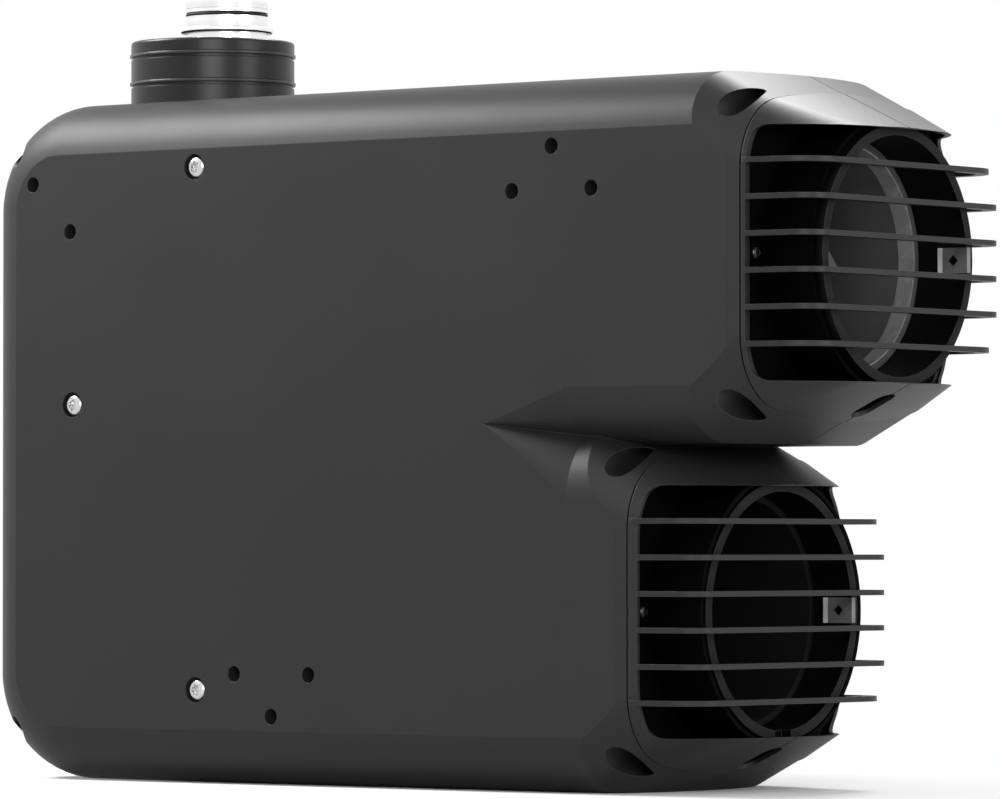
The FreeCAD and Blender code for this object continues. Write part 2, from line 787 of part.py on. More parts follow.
def casing_shells():
    outer = envelope(0.0)
    inner = envelope(WALL)
    cuts = [inner]
    for end, axis_z in TUBES:
        cuts.append(mouth_cut(end, axis_z))
    skin = outer.cut(cuts)
    # The shadow line along the seam is rebated into the edge of the front shell alone.
    groove = seam_groove(-FAR, 2 * FAR, envelope(GROOVE_DEPTH))

    front_adds = []
    rear_adds = []
    front_cuts = []
    rear_cuts = []
    limits = [box(end - PLATE_SETBACK - PLATE_THICKNESS - PLATE_GAP, end + WALL, -FAR, FAR,
                  axis_z - MOUTH_HALF_HEIGHT, axis_z + MOUTH_HALF_HEIGHT) for end, axis_z in TUBES]

    for x, z in corner_places():
        boss = rod_y(x, z, POCKET_RADIUS + POCKET_WALL, -HALF_DEPTH, -POCKET_FLOOR + POCKET_BASE)
        column = rod_y(x, z, COLUMN_RADIUS, -HALF_DEPTH, -SEAM / 2)
        front_adds.append(boss.fuse(column))
        front_cuts.append(rod_y(x, z, POCKET_RADIUS, -HALF_DEPTH - PAST, -POCKET_FLOOR))
        front_cuts.append(rod_y(x, z, SHANK_RADIUS + SHANK_CLEARANCE, -POCKET_FLOOR - PAST, PAST))
        rear_adds.append(rod_y(x, z, COLUMN_RADIUS, SEAM / 2, HALF_DEPTH))
        rear_cuts.append(rod_y(x, z, SHANK_RADIUS + THREAD_FIT, -PAST, PILOT_DEPTH))

    for x, z in FRONT_SCREWS:
        front_adds.append(rod_y(x, z, FRONT_BOSS, -INNER_HALF_DEPTH - PAST, -FRONT_BOSS_END))
        front_cuts.append(rod_y(x, z, FRONT_COUNTERBORE, -HALF_DEPTH - PAST,
                                -HALF_DEPTH + FRONT_COUNTERBORE_DEPTH))
        front_cuts.append(rod_y(x, z, SHANK_RADIUS + SHANK_CLEARANCE, -HALF_DEPTH,
                                -FRONT_BOSS_END + PAST))

    for x, z in bracket_holes():
        front_adds.append(rod_y(x, z, BRACKET_HOLE_RADIUS + BRACKET_BOSS_WALL,
                                -INNER_HALF_DEPTH - PAST,
                                -HALF_DEPTH + BRACKET_HOLE_DEPTH + BRACKET_BOSS_FLOOR))
        front_cuts.append(rod_y(x, z, BRACKET_HOLE_RADIUS, -HALF_DEPTH - PAST,
                                -HALF_DEPTH + BRACKET_HOLE_DEPTH))

    pads = side_pads()
    ribs = bulkhead_ribs()
    front_adds.extend(pads + ribs)
    rear_adds.extend([mirrored(piece) for piece in pads + ribs])
    for x, z in board_posts():
        post = rod_y(x, z, POST_RADIUS, BOARD_Y + BOARD_THICKNESS, INNER_HALF_DEPTH + PAST)
        rear_adds.append(post)
        rear_cuts.append(rod_y(x, z, POST_PILOT_RADIUS, BOARD_Y, BOARD_Y + POST_PILOT_DEPTH))

    openings = [
        rod_z(FLUE_X, 0, AIR_COLLAR_RADIUS + HOLE_CLEARANCE, CASE_HEIGHT - 2 * WALL, CASE_HEIGHT + PAST),
        rod_x(GAS_PIPE_Y, GAS_PIPE_Z, GAS_PIPE_RADIUS + GROMMET_NECK, -PAST, 2 * WALL),
        rod_x(CABLE_Y, CABLE_Z, CABLE_RADIUS + GROMMET_NECK, -PAST, 2 * WALL),
    ]

    front = front_half(skin).fuse([piece.common(outer) for piece in front_adds])
    front = front.cut(front_cuts + openings + limits_inside(limits, skin) + [groove])
    rear = rear_half(skin).fuse([piece.common(outer) for piece in rear_adds])
    rear = rear.cut(rear_cuts + openings + limits_inside(limits, skin))
    return {"front_shell": front.removeSplitter(), "rear_shell": rear.removeSplitter()}


def limits_inside(limits, skin):
    """Nothing but the skin itself reaches past the port plates."""
    return [limit.cut(skin) for limit in limits]


def hood(end, axis_z, inset):
    """The block that the hood of a grille is cut from, moved inwards by inset."""
    half_height = OPENING_HALF_HEIGHT + HOOD_EDGE - inset
    corner = HOOD_END.shrunk(inset)
    tip = section(end + HOOD_REACH, axis_z - half_height, axis_z + half_height,
                  MOUTH_HALF_WIDTH - FIN_DRAFT - inset, corner, corner, HOOD_END_CROWN)
    return loft([mouth_section(end + GRILLE_GAP, axis_z, 0.0, 0.0, inset), tip])


def boss_room(axis_z, grow):
    """The space that the long screws' bosses need beside what stands in a tube's opening."""
    radius = POCKET_RADIUS + POCKET_WALL + grow
    return [rod_y(x, z, radius, -HALF_DEPTH, HALF_DEPTH) for x, z in corner_places()
            if abs(z - axis_z) < MOUTH_HALF_HEIGHT]


def under_hood(shape, end, axis_z):
    """Trims what stands inside a grille to clear the underside of its hood."""
    start = end + GRILLE_GAP
    block = box(start, end + HOOD_REACH, -FAR, FAR, axis_z - FAR, axis_z + FAR)
    return shape.cut(block.cut(hood(end, axis_z, GRILLE_WALL + HOOD_CLEARANCE)))


def grille(end, axis_z, strip):
    """Hood with its roof and floor, the frame strip, the spigot and the wrap-round fins."""
    start = end + GRILLE_GAP
    body = hood(end, axis_z, 0.0).cut(hood(end, axis_z, GRILLE_WALL))
    slot = box(start + strip, end + 2 * FIN_REACH, -FAR, FAR,
               axis_z - OPENING_HALF_HEIGHT, axis_z + OPENING_HALF_HEIGHT)
    corners = [edge for edge in slot.Edges
               if edge.BoundBox.YLength > FAR and edge.BoundBox.XMax < start + strip + TINY]
    groove = seam_groove(start - PAST, end + HOOD_REACH + PAST, hood(end, axis_z, GROOVE_DEPTH))
    body = body.cut([slot.makeFillet(OPENING_CORNER, corners), groove])

    inset = WALL + SPIGOT_CLEARANCE
    spigot = mouth_block(end - SPIGOT_LENGTH, start + GRILLE_WALL / 2, axis_z, inset)
    inset += SPIGOT_WALL
    spigot = spigot.cut(mouth_block(end - SPIGOT_LENGTH - PAST, start + GRILLE_WALL, axis_z, inset))
    spigot = spigot.cut(boss_room(axis_z, BOSS_CLEARANCE))
    pieces = [body, spigot]
    for number in range(FIN_COUNT):
        level = (number - (FIN_COUNT - 1) / 2) * FIN_PITCH
        edge_fin = number in (0, FIN_COUNT - 1)
        corner = OUTER_FIN_CORNER if edge_fin else FIN_CORNER
        pieces.append(fin(end, axis_z, level, corner))
    body = join(pieces)
    return body.cut(latch_slot(end, axis_z))


def fin(end, axis_z, level, corner):
    """One thin band that wraps round the opening, level all the way."""
    start = end + GRILLE_GAP + FIN_ROOT
    low = axis_z + level - FIN_THICKNESS / 2

    def plan(inset, x0):
        back = MOUTH_HALF_WIDTH - inset
        half = MOUTH_HALF_WIDTH - FIN_DRAFT - inset
        front = end + FIN_REACH - inset
        radius = corner - inset
        arc_place = radius * (1 - math.sqrt(0.5))
        edges = [
            Part.makeLine(vec(x0, -back, low), vec(front - radius, -half, low)),
            Part.Arc(vec(front - radius, -half, low), vec(front - arc_place, -half + arc_place, low),
                     vec(front, -half + radius, low)).toShape(),
            Part.makeLine(vec(front, -half + radius, low), vec(front, half - radius, low)),
            Part.Arc(vec(front, half - radius, low), vec(front - arc_place, half - arc_place, low),
                     vec(front - radius, half, low)).toShape(),
            Part.makeLine(vec(front - radius, half, low), vec(x0, back, low)),
            Part.makeLine(vec(x0, back, low), vec(x0, -back, low)),
        ]
        return Part.Face(Part.Wire(edges)).extrude(vec(0, 0, FIN_THICKNESS))

    band = plan(0.0, start).cut(plan(FIN_DEPTH, start - PAST))
    return band.common(mouth_block(start - PAST, end + 2 * FIN_REACH, axis_z, 0.0))


def latch_slot(end, axis_z):
    """The oval slot in the floor of the hood where its snap tongue shows."""
    x0 = end + GRILLE_GAP + LATCH_SETBACK
    x1 = x0 + LATCH_LENGTH
    z0 = axis_z - MOUTH_HALF_HEIGHT - PAST
    z1 = axis_z - OPENING_HALF_HEIGHT
    half = LATCH_WIDTH / 2
    slot = box(x0 + half, x1 - half, -half, half, z0, z1)
    return slot.fuse([rod_z(x, 0, half, z0, z1) for x in (x0 + half, x1 - half)])


def latch_tongue(end, axis_z):
    """The spring tongue on the port plate that shows in the slot of the hood's floor."""
    face = end - PLATE_SETBACK
    half = TONGUE_WIDTH / 2
    low = axis_z - MOUTH_HALF_HEIGHT + PLATE_INSET
    tongue = box(face - PLATE_THICKNESS, face + TONGUE_LENGTH, -half, half, low, low + TONGUE_THICKNESS)
    corners = [edge for edge in tongue.Edges
               if edge.BoundBox.ZLength > TONGUE_THICKNESS / 2 and edge.BoundBox.XMin > face]
    return tongue.makeFillet(TONGUE_WIDTH / 3, corners)


def port(end, axis_z, reach, setback):
    """Plate that closes the opening round the collar, with its tube and stiffening ribs."""
    face = end - PLATE_SETBACK
    back = face - PLATE_THICKNESS
    rim = end + reach - setback
    plate = mouth_block(back, face, axis_z, PLATE_INSET)
    pieces = [plate, rod_x(0, axis_z, PORT_RADIUS, back, rim)]
    for number in range(PORT_RIBS):
        level = (number - (PORT_RIBS - 1) / 2) * FIN_PITCH
        run = math.sqrt((PORT_RADIUS + PORT_RIB_HEIGHT) ** 2 - level ** 2)
        half = PORT_RIB_WIDTH / 2
        pieces.append(box(back, rim - PORT_RIB_SETBACK, -run, run, axis_z + level - half,
                          axis_z + level + half))
    pieces.append(latch_tongue(end, axis_z))
    body = join(pieces)
    body = body.cut(rod_x(0, axis_z, PORT_BORE_RADIUS, back - PAST, rim + PAST))
    holes = [rod_x(side * PORT_SCREW_Y, axis_z, PORT_SHANK_RADIUS + PORT_HOLE_CLEARANCE, back - PAST,
                   rim) for side in (-1, 1)]
    clear = [rod_x(side * PORT_SCREW_Y, axis_z, PORT_HEAD_RADIUS + PORT_HEAD_CLEARANCE, face, rim)
             for side in (-1, 1)]
    body = body.cut(holes + clear + boss_room(axis_z, BOSS_CLEARANCE))
    return under_hood(body, end, axis_z)


def collar(end, axis_z, reach, drained):
    """The round collar that a duct or the fan looks out of."""
    back = end - PLATE_SETBACK - PLATE_THICKNESS
    face = end + reach
    flange = rod_x(0, axis_z, PORT_BORE_RADIUS - COLLAR_CLEARANCE, back, back + COLLAR_FLANGE)
    body = join([rod_x(0, axis_z, COLLAR_RADIUS, back, face), flange])
    body = body.cut(rod_x(0, axis_z, COLLAR_BORE_RADIUS, back - PAST, face + PAST))
    if drained:
        half = DRAIN_WIDTH / 2
        body = body.cut(box(face - DRAIN_DEPTH, face + PAST, -half, half,
                            axis_z - COLLAR_RADIUS - PAST, axis_z))
    return under_hood(body, end, axis_z)


def collar_clip(end, axis_z, reach):
    """Spring clip of bent sheet, hooked over the rim of a collar at its rear."""
    rim = end + reach + COLLAR_CLEARANCE
    half = CLIP_HEIGHT / 2
    inner = math.sqrt(COLLAR_BORE_RADIUS ** 2 - half ** 2) - COLLAR_CLEARANCE
    tip = rim - CLIP_LENGTH
    bend = tip + CLIP_BEND
    outline = [
        (bend, inner),
        (rim, inner),
        (rim, inner + CLIP_LIP),
        (rim + CLIP_THICKNESS, inner + CLIP_LIP),
        (rim + CLIP_THICKNESS, inner - CLIP_THICKNESS),
        (bend, inner - CLIP_THICKNESS),
        (tip, inner - CLIP_BEND_DROP - CLIP_THICKNESS),
        (tip, inner - CLIP_BEND_DROP),
    ]
    points = [vec(x, y, axis_z - half) for x, y in outline]
    body = Part.Face(Part.makePolygon(points + [points[0]])).extrude(vec(0, 0, CLIP_HEIGHT))
    hole_x = rim - CLIP_HOLE_SETBACK
    hole = box(hole_x - CLIP_HOLE / 2, hole_x + CLIP_HOLE / 2, inner - PAST, inner + PAST,
               axis_z - CLIP_HOLE / 2, axis_z + CLIP_HOLE / 2)
    hole.rotate(vec(hole_x, 0, axis_z), vec(0, 1, 0), 45)
    return body.cut(hole)


def port_screws():
    screws = []
    for end, axis_z in TUBES:
        face = end - PLATE_SETBACK
        for side in (-1, 1):
            y = side * PORT_SCREW_Y
            head = rod_x(y, axis_z, PORT_HEAD_RADIUS, face, face + PORT_HEAD_HEIGHT)
            shank = rod_x(y, axis_z, PORT_SHANK_RADIUS, face - PORT_SHANK_LENGTH, face)
            recess = rod_x(y, axis_z, PORT_RECESS_RADIUS, face + PORT_HEAD_HEIGHT - PORT_RECESS_DEPTH,
                           face + PORT_HEAD_HEIGHT + PAST)
            screws.append(join([head, shank]).cut(recess))
    return Part.makeCompound(screws)


def duct_tube(end, axis_z, front, length):
    """Straight tube behind a collar, with the flange that bears on the port plate."""
    outer = COLLAR_BORE_RADIUS - DUCT_CLEARANCE
    inner = outer - DUCT_WALL
    flange_x = end - PLATE_SETBACK - PLATE_THICKNESS
    tube = rod_x(0, axis_z, outer, front - length, front)
    flange = rod_x(0, axis_z, PORT_RADIUS, flange_x - DUCT_FLANGE, flange_x)
    return join([tube, flange]).cut(rod_x(0, axis_z, inner, front - length - PAST, front + PAST))


def circulation_housing():
    front = CASE_LENGTH + UPPER_COLLAR_REACH - NOZZLE_SETBACK
    body = duct_tube(CASE_LENGTH, UPPER_AXIS_Z, front, FAN_HOUSING_LENGTH)
    start = front - FAN_HOUSING_LENGTH
    cup_outer = FAN_MOTOR_RADIUS + CUP_FIT + CUP_WALL
    pieces = [body, rod_x(0, UPPER_AXIS_Z, cup_outer, start, start + CUP_DEPTH)]
    for number in range(VANE_COUNT):
        turn = 360.0 * number / VANE_COUNT
        vane = box(start + CUP_WALL, start + VANE_LENGTH, -VANE_THICKNESS / 2, VANE_THICKNESS / 2,
                   UPPER_AXIS_Z + cup_outer - PAST, UPPER_AXIS_Z + FAN_RADIUS + PAST)
        vane.rotate(vec(0, 0, UPPER_AXIS_Z), vec(1, 0, 0), turn)
        pieces.append(vane)
    body = join(pieces)
    return body.cut(rod_x(0, UPPER_AXIS_Z, FAN_MOTOR_RADIUS + CUP_FIT, start + CUP_WALL,
                          start + CUP_WALL + FAN_MOTOR_LENGTH))


def circulation_motor_x():
    """Where the motor's cup floor is, and where its body ends."""
    front = CASE_LENGTH + UPPER_COLLAR_REACH - NOZZLE_SETBACK
    start = front - FAN_HOUSING_LENGTH + CUP_WALL
    return start, start + FAN_MOTOR_LENGTH


def motor(y, z, radius, x0, x1, shaft_radius):
    """Plain motor can with a bore that holds a bearing at each end."""
    can = rod_x(y, z, radius, x0, x1)
    seat = shaft_radius + BEARING_WALL
    first = x0 + MOTOR_WALL
    cuts = [
        rod_x(y, z, shaft_radius + MOTOR_AIR_GAP, x0 + BEARING_WIDTH, x1 + PAST),
        rod_x(y, z, seat, first, first + BEARING_WIDTH),
        rod_x(y, z, seat, x1 - BEARING_WIDTH, x1 + PAST),
    ]
    return can.cut(cuts)


def bearings(y, z, x0, x1, shaft_radius):
    seat = shaft_radius + BEARING_WALL
    bore = shaft_radius + SHAFT_CLEARANCE
    inner = x0 + MOTOR_WALL
    first = ring_x(y, z, bore, seat, inner, inner + BEARING_WIDTH)
    second = ring_x(y, z, bore, seat, x1 - BEARING_WIDTH, x1)
    return [first, second]


def blade(x0, x1, root_radius, tip_radius):
    """A twisted fan blade, drawn upwards from the axis through the origin."""
    wires = []
    half = FAN_BLADE_THICKNESS / 2
    for radius, turn, share in ((root_radius, FAN_ROOT_TURN, 0.0), (tip_radius, FAN_TIP_TURN, 1.0)):
        chord = (x1 - x0) * (1.0 - FAN_TIP_NARROWING * share)
        corners = [vec(-chord / 2, -half, 0), vec(chord / 2, -half, 0),
                   vec(chord / 2, half, 0), vec(-chord / 2, half, 0)]
        wire = Part.makePolygon(corners + [corners[0]])
        wire.rotate(vec(0, 0, 0), vec(0, 0, 1), turn)
        middle = (x0 + x1) / 2 + FAN_TIP_SWEEP * share
        wire.translate(vec(middle, 0, radius))
        wires.append(wire)
    return loft(wires)


def circulation_impeller():
    face = CASE_LENGTH + UPPER_COLLAR_REACH - FAN_HUB_SETBACK
    motor_end = circulation_motor_x()[1]
    start = motor_end + FAN_MOTOR_GAP
    hub = rod_x(0, 0, FAN_HUB_RADIUS, start, face - FAN_NOSE)
    nose = Part.makeCone(FAN_HUB_RADIUS, FAN_HUB_RADIUS - FAN_NOSE, FAN_NOSE,
                         vec(face - FAN_NOSE, 0, 0), vec(1, 0, 0))
    tip = FAN_RADIUS - FAN_TIP_CLEARANCE
    pieces = [hub, nose]
    for number in range(FAN_BLADES):
        one = blade(start + FAN_BLADE_SETBACK + PAST, face - FAN_BLADE_SETBACK,
                    FAN_HUB_RADIUS - FAN_HUB_WALL / 2, tip + FAN_HUB_WALL)
        one = one.common(rod_x(0, 0, tip, 0, CASE_LENGTH))
        one.rotate(vec(0, 0, 0), vec(1, 0, 0), 360.0 * number / FAN_BLADES)
        pieces.append(one)
    body = join(pieces)
    floor_x = face - FAN_NOSE - FAN_HUB_WALL
    hollow = rod_x(0, 0, FAN_HUB_RADIUS - FAN_HUB_WALL, start - PAST, floor_x)
    post = rod_x(0, 0, FAN_SHAFT_RADIUS + FAN_HUB_WALL, start - PAST, floor_x)
    body = body.cut([hollow.cut(post), rod_x(0, 0, FAN_SHAFT_RADIUS, start - PAST, floor_x)])
    body.translate(vec(0, 0, UPPER_AXIS_Z))
    return body


def circulation_shaft():
    start = circulation_motor_x()[0]
    face = CASE_LENGTH + UPPER_COLLAR_REACH - FAN_HUB_SETBACK
    return rod_x(0, UPPER_AXIS_Z, FAN_SHAFT_RADIUS, start + MOTOR_WALL + SHAFT_END_GAP,
                 face - FAN_NOSE - FAN_HUB_WALL)


def nozzle_ring():
    """Bright metal ring that lines the mouth of the fan's housing."""
    front = CASE_LENGTH + UPPER_COLLAR_REACH - NOZZLE_SETBACK
    radius = FAN_RADIUS - RING_FIT
    return ring_x(0, UPPER_AXIS_Z, radius - NOZZLE_RING_THICKNESS, radius,
                  front - NOZZLE_RING_LENGTH, front)


def combustion_air_collar():
    base = CASE_HEIGHT - WALL
    bore = AIR_COLLAR_RADIUS - AIR_COLLAR_WALL
    foot = base - AIR_COLLAR_FLANGE
    body = rod_z(FLUE_X, 0, AIR_COLLAR_RADIUS, foot, AIR_COLLAR_TOP)
    flange = rod_z(FLUE_X, 0, PLENUM_RADIUS, foot, base).common(main_block(WALL + FLANGE_CLEARANCE))
    body = join([body, flange])
    rim = [edge for edge in body.Edges if edge.BoundBox.ZMin > AIR_COLLAR_TOP - PAST]
    body = body.makeFillet(AIR_COLLAR_EDGE, rim)
    grooves = [ring_z(FLUE_X, 0, AIR_COLLAR_RADIUS - LIP_GROOVE_DEPTH, AIR_COLLAR_RADIUS + PAST,
                      z - LIP_GROOVE_WIDTH, z) for z in LIP_HEIGHTS]
    return body.cut(grooves + [rod_z(FLUE_X, 0, bore, foot - PAST, AIR_COLLAR_TOP + PAST)])


def collar_seals():
    """Two rubber lip rings that sit in the grooves of the air collar."""
    rings = []
    for z in LIP_HEIGHTS:
        rings.append(ring_z(FLUE_X, 0, AIR_COLLAR_RADIUS - LIP_GROOVE_DEPTH + LIP_FIT,
                            AIR_COLLAR_RADIUS + LIP_REACH, z - LIP_FIT - LIP_THICKNESS, z - LIP_FIT))
    return Part.makeCompound(rings)


def exhaust_pipe():
    tube = rod_z(EXHAUST_X, 0, EXHAUST_RADIUS, PIPE_BOTTOM, EXHAUST_BEAD_Z)
    stub = rod_z(EXHAUST_X, 0, STUB_RADIUS, EXHAUST_BEAD_Z, EXHAUST_TOP)
    half = EXHAUST_BEAD_WIDTH / 2
    bead = rod_z(EXHAUST_X, 0, EXHAUST_BEAD_RADIUS, EXHAUST_BEAD_Z - half, EXHAUST_BEAD_Z + half)
    bead = bead.makeFillet(EXHAUST_BEAD_EDGE, [edge for edge in bead.Edges if len(edge.Vertexes) == 1])
    body = join([tube, stub, bead])
    bore = EXHAUST_RADIUS - EXHAUST_WALL
    depth = 2 * EXHAUST_RING_WIRE + RING_FIT
    half = EXHAUST_RING_WIRE + SEAL_ROOM
    groove = ring_z(EXHAUST_X, 0, STUB_RADIUS - depth, STUB_RADIUS + PAST,
                    EXHAUST_RING_Z - half, EXHAUST_RING_Z + half)
    line = ring_z(EXHAUST_X, 0, STUB_RADIUS - STUB_LINE_DEPTH, STUB_RADIUS + PAST,
                  STUB_LINE_Z - STUB_LINE_WIDTH / 2, STUB_LINE_Z + STUB_LINE_WIDTH / 2)
    return body.cut([rod_z(EXHAUST_X, 0, bore, PIPE_BOTTOM - PAST, EXHAUST_TOP + PAST), groove, line])


def exhaust_seal():
    """Rubber ring, drawn as the sleeve over it presses it: level with the pipe."""
    middle = STUB_RADIUS - EXHAUST_RING_WIRE - RING_FIT / 2
    return Part.makeTorus(middle, EXHAUST_RING_WIRE, vec(EXHAUST_X, 0, EXHAUST_RING_Z))


def air_plenum():
    """Cup below the air collar that leads the fresh air to the side."""
    cup = rod_z(FLUE_X, 0, PLENUM_RADIUS, PLENUM_BOTTOM, PLENUM_TOP)
    cup = cup.cut(rod_z(FLUE_X, 0, PLENUM_RADIUS - PLENUM_WALL, PLENUM_BOTTOM + PLENUM_WALL,
                        PLENUM_TOP + PAST))
    x0, x1 = duct_x()
    outer = DUCT_HALF_WIDTH + SPOUT_WALL
    spigot = box(x0 - SPOUT_WALL, x1 + SPOUT_WALL, -outer, outer, PLENUM_BOTTOM - SPOUT_LENGTH,
                 PLENUM_BOTTOM + ROOT)
    cup = join([cup, spigot])
    hole = box(x0, x1, -DUCT_HALF_WIDTH, DUCT_HALF_WIDTH, PLENUM_BOTTOM - SPOUT_LENGTH - PAST,
               PLENUM_BOTTOM + PLENUM_WALL + PAST)
    pipe = rod_z(EXHAUST_X, 0, EXHAUST_RADIUS + SOCKET_CLEARANCE, PLENUM_BOTTOM - PAST,
                 PLENUM_BOTTOM + PLENUM_WALL + PAST)
    return cup.cut([hole, pipe])


def duct_x():
    """The two sides of the air duct, seen along Y."""
    blower_end = EXCHANGER_START - GASKET_THICKNESS - BULKHEAD_THICKNESS
    middle = blower_end - BLOWER_DEPTH / 2 - DUCT_OFFSET
    return middle - DUCT_DEPTH / 2, middle + DUCT_DEPTH / 2


def air_duct():
    """Rectangular duct from the plenum down to the blower's inlet."""
    x0, x1 = duct_x()
    half = DUCT_HALF_WIDTH - SPOUT_FIT
    wall = SPOUT_FIT + SPOUT_WALL
    low = INLET_TOP - SPOUT_LENGTH
    duct = box(x0 + SPOUT_FIT, x1 - SPOUT_FIT, -half, half, low, PLENUM_BOTTOM - ROOT)
    hollow = box(x0 + wall, x1 - wall, -half + SPOUT_WALL, half - SPOUT_WALL, low - PAST, PLENUM_BOTTOM)
    side = rod_y(x0 + DUCT_DEPTH / 2, FEED_PIPE_Z, FEED_PIPE_RADIUS + JET_WALL + JET_FIT,
                 half - JET_LENGTH, half + PAST)
    return duct.cut([hollow, side])


def blower_x():
    end = EXCHANGER_START - GASKET_THICKNESS - BULKHEAD_THICKNESS
    return end - BLOWER_DEPTH, end


def blower_housing():
    x0, x1 = blower_x()
    z = LOWER_AXIS_Z
    can = rod_x(0, z, BLOWER_RADIUS, x0, x1 - BLOWER_WALL)
    d0, d1 = duct_x()
    outer = DUCT_HALF_WIDTH + SPOUT_WALL
    spigot = box(d0 - SPOUT_WALL, d1 + SPOUT_WALL, -outer, outer, z, INLET_TOP)
    can = join([can, spigot])
    cuts = [
        rod_x(0, z, BLOWER_RADIUS - BLOWER_WALL, x0 + BLOWER_WALL, x1),
        box(d0, d1, -DUCT_HALF_WIDTH, DUCT_HALF_WIDTH, z, INLET_TOP + PAST),
        rod_x(0, z, BLOWER_SHAFT_RADIUS + MOTOR_AIR_GAP, x0 - PAST, x0 + BLOWER_WALL + PAST),
    ]
    return can.cut(cuts)


def blower_cover():
    x1 = blower_x()[1]
    z = LOWER_AXIS_Z
    plate = rod_x(0, z, BLOWER_RADIUS, x1 - BLOWER_WALL, x1)
    back = x1 - BLOWER_WALL - PAST
    opening = ring_x(0, z, COVER_HUB_RADIUS, COVER_EYE_RADIUS, back, x1 + PAST)
    half = COVER_SPOKE / 2
    for turn in (0, 60, 120):
        spoke = box(back - PAST, x1 + 2 * PAST, -half, half, z - BLOWER_RADIUS, z + BLOWER_RADIUS)
        spoke.rotate(vec(0, 0, z), vec(1, 0, 0), turn)
        opening = opening.cut(spoke)
    return plate.cut(opening)


def blower_impeller():
    x0, x1 = blower_x()
    z = LOWER_AXIS_Z
    radius = BLOWER_RADIUS - BLOWER_WALL - WHEEL_TIP_GAP
    back = x0 + BLOWER_WALL + WHEEL_SIDE_GAP
    front = x1 - BLOWER_WALL - WHEEL_SIDE_GAP
    pieces = [rod_x(0, z, radius, back, back + WHEEL_DISC), rod_x(0, z, WHEEL_HUB, back, front - WHEEL_DISC)]
    half = WHEEL_BLADE / 2
    for number in range(BLOWER_BLADES):
        one = box(back + WHEEL_DISC - ROOT, front, -half, half, z + radius - WHEEL_CHORD, z + radius - ROOT)
        one.rotate(vec(0, 0, z + radius - WHEEL_CHORD / 2), vec(1, 0, 0), WHEEL_BLADE_TURN)
        one.rotate(vec(0, 0, z), vec(1, 0, 0), 360.0 * number / BLOWER_BLADES)
        pieces.append(one)
    rim = ring_x(0, z, radius - WHEEL_CHORD, radius, front - WHEEL_RIM, front)
    pieces.append(rim)
    return join(pieces).cut(rod_x(0, z, BLOWER_SHAFT_RADIUS, back - PAST, front))


def blower_shaft():
    x0, x1 = blower_x()
    return rod_x(0, LOWER_AXIS_Z, BLOWER_SHAFT_RADIUS,
                 x0 - BLOWER_MOTOR_LENGTH + MOTOR_WALL + SHAFT_END_GAP,
                 x1 - BLOWER_WALL - WHEEL_SIDE_GAP - WHEEL_DISC)


def exchanger_end():
    return EXCHANGER_START + EXCHANGER_LENGTH


def burner_bulkhead():
    """Steel plate across the casing that carries the blower, the burner and the exchanger."""
    x1 = EXCHANGER_START - GASKET_THICKNESS
    x0 = x1 - BULKHEAD_THICKNESS
    half = INNER_HALF_DEPTH - PLATE_GAP
    plate = box(x0, x1, -half, half, BULKHEAD_LOW, BULKHEAD_HIGH)
    cuts = [rod_x(0, LOWER_AXIS_Z, BURNER_RADIUS - BURNER_LEDGE, x0 - PAST, x1 + PAST)]
    cuts.extend(flange_holes(x0 - PAST, x1 + PAST, SHANK_RADIUS + SHANK_CLEARANCE))
    corner = box(x0 - PAST, x1 + PAST, BULKHEAD_CORNER_Y, FAR, 0, BULKHEAD_CORNER_Z)
    return plate.cut(cuts + [corner, mirrored(corner)]).cut(chassis_outline(PLATE_GAP))


def flange_holes(x0, x1, radius):
    holes = []
    for number in range(FLANGE_SCREWS):
        turn = 2 * math.pi * (number + 0.5) / FLANGE_SCREWS
        y = (EXCHANGER_FLANGE - FLANGE_EDGE) * math.cos(turn)
        z = LOWER_AXIS_Z + (EXCHANGER_FLANGE - FLANGE_EDGE) * math.sin(turn)
        holes.append(rod_x(y, z, radius, x0, x1))
    return holes


def bulkhead_gasket():
    x1 = EXCHANGER_START
    ring = ring_x(0, LOWER_AXIS_Z, EXCHANGER_BORE, EXCHANGER_FLANGE, x1 - GASKET_THICKNESS, x1)
    return ring.cut(flange_holes(x1 - GASKET_THICKNESS - PAST, x1 + PAST, SHANK_RADIUS + SHANK_CLEARANCE))


def exchanger_screws():
    x0 = EXCHANGER_START - GASKET_THICKNESS - BULKHEAD_THICKNESS
    screws = []
    tip = EXCHANGER_START + EXCHANGER_FLANGE_THICKNESS - 2 * PAST
    for shank, head in zip(flange_holes(x0, tip, SHANK_RADIUS),
                           flange_holes(x0 - HEAD_HEIGHT, x0, FLANGE_HEAD_RADIUS)):
        screws.append(join([shank, head]))
    return Part.makeCompound(screws)


def burner_tube():
    """Perforated burner tube with its closed end, standing on the bulkhead."""
    x0 = EXCHANGER_START - GASKET_THICKNESS
    x1 = x0 + BURNER_LENGTH
    z = LOWER_AXIS_Z
    tube = rod_x(0, z, BURNER_RADIUS, x0, x1)
    foot = rod_x(0, z, BURNER_RADIUS + BURNER_FOOT, x0, x0 + FLAME_TUBE_WALL)
    body = join([tube, foot]).cut(rod_x(0, z, BURNER_RADIUS - BURNER_WALL, x0 - PAST, x1 - BURNER_CAP))
    slots = []
    half = SLOT_WIDTH / 2
    step = 180.0 / SLOTS_ACROSS
    for row in range(SLOT_ROWS):
        slot_x = x0 + SLOT_START + SLOT_PITCH * row
        for number in range(SLOTS_ACROSS):
            slot = box(slot_x, slot_x + SLOT_LENGTH, -2 * BURNER_RADIUS, 2 * BURNER_RADIUS,
                       z - half, z + half)
            slot.rotate(vec(0, 0, z), vec(1, 0, 0), step * (number + (row % 2) / 2))
            slots.append(slot)
    return body.cut(slots)


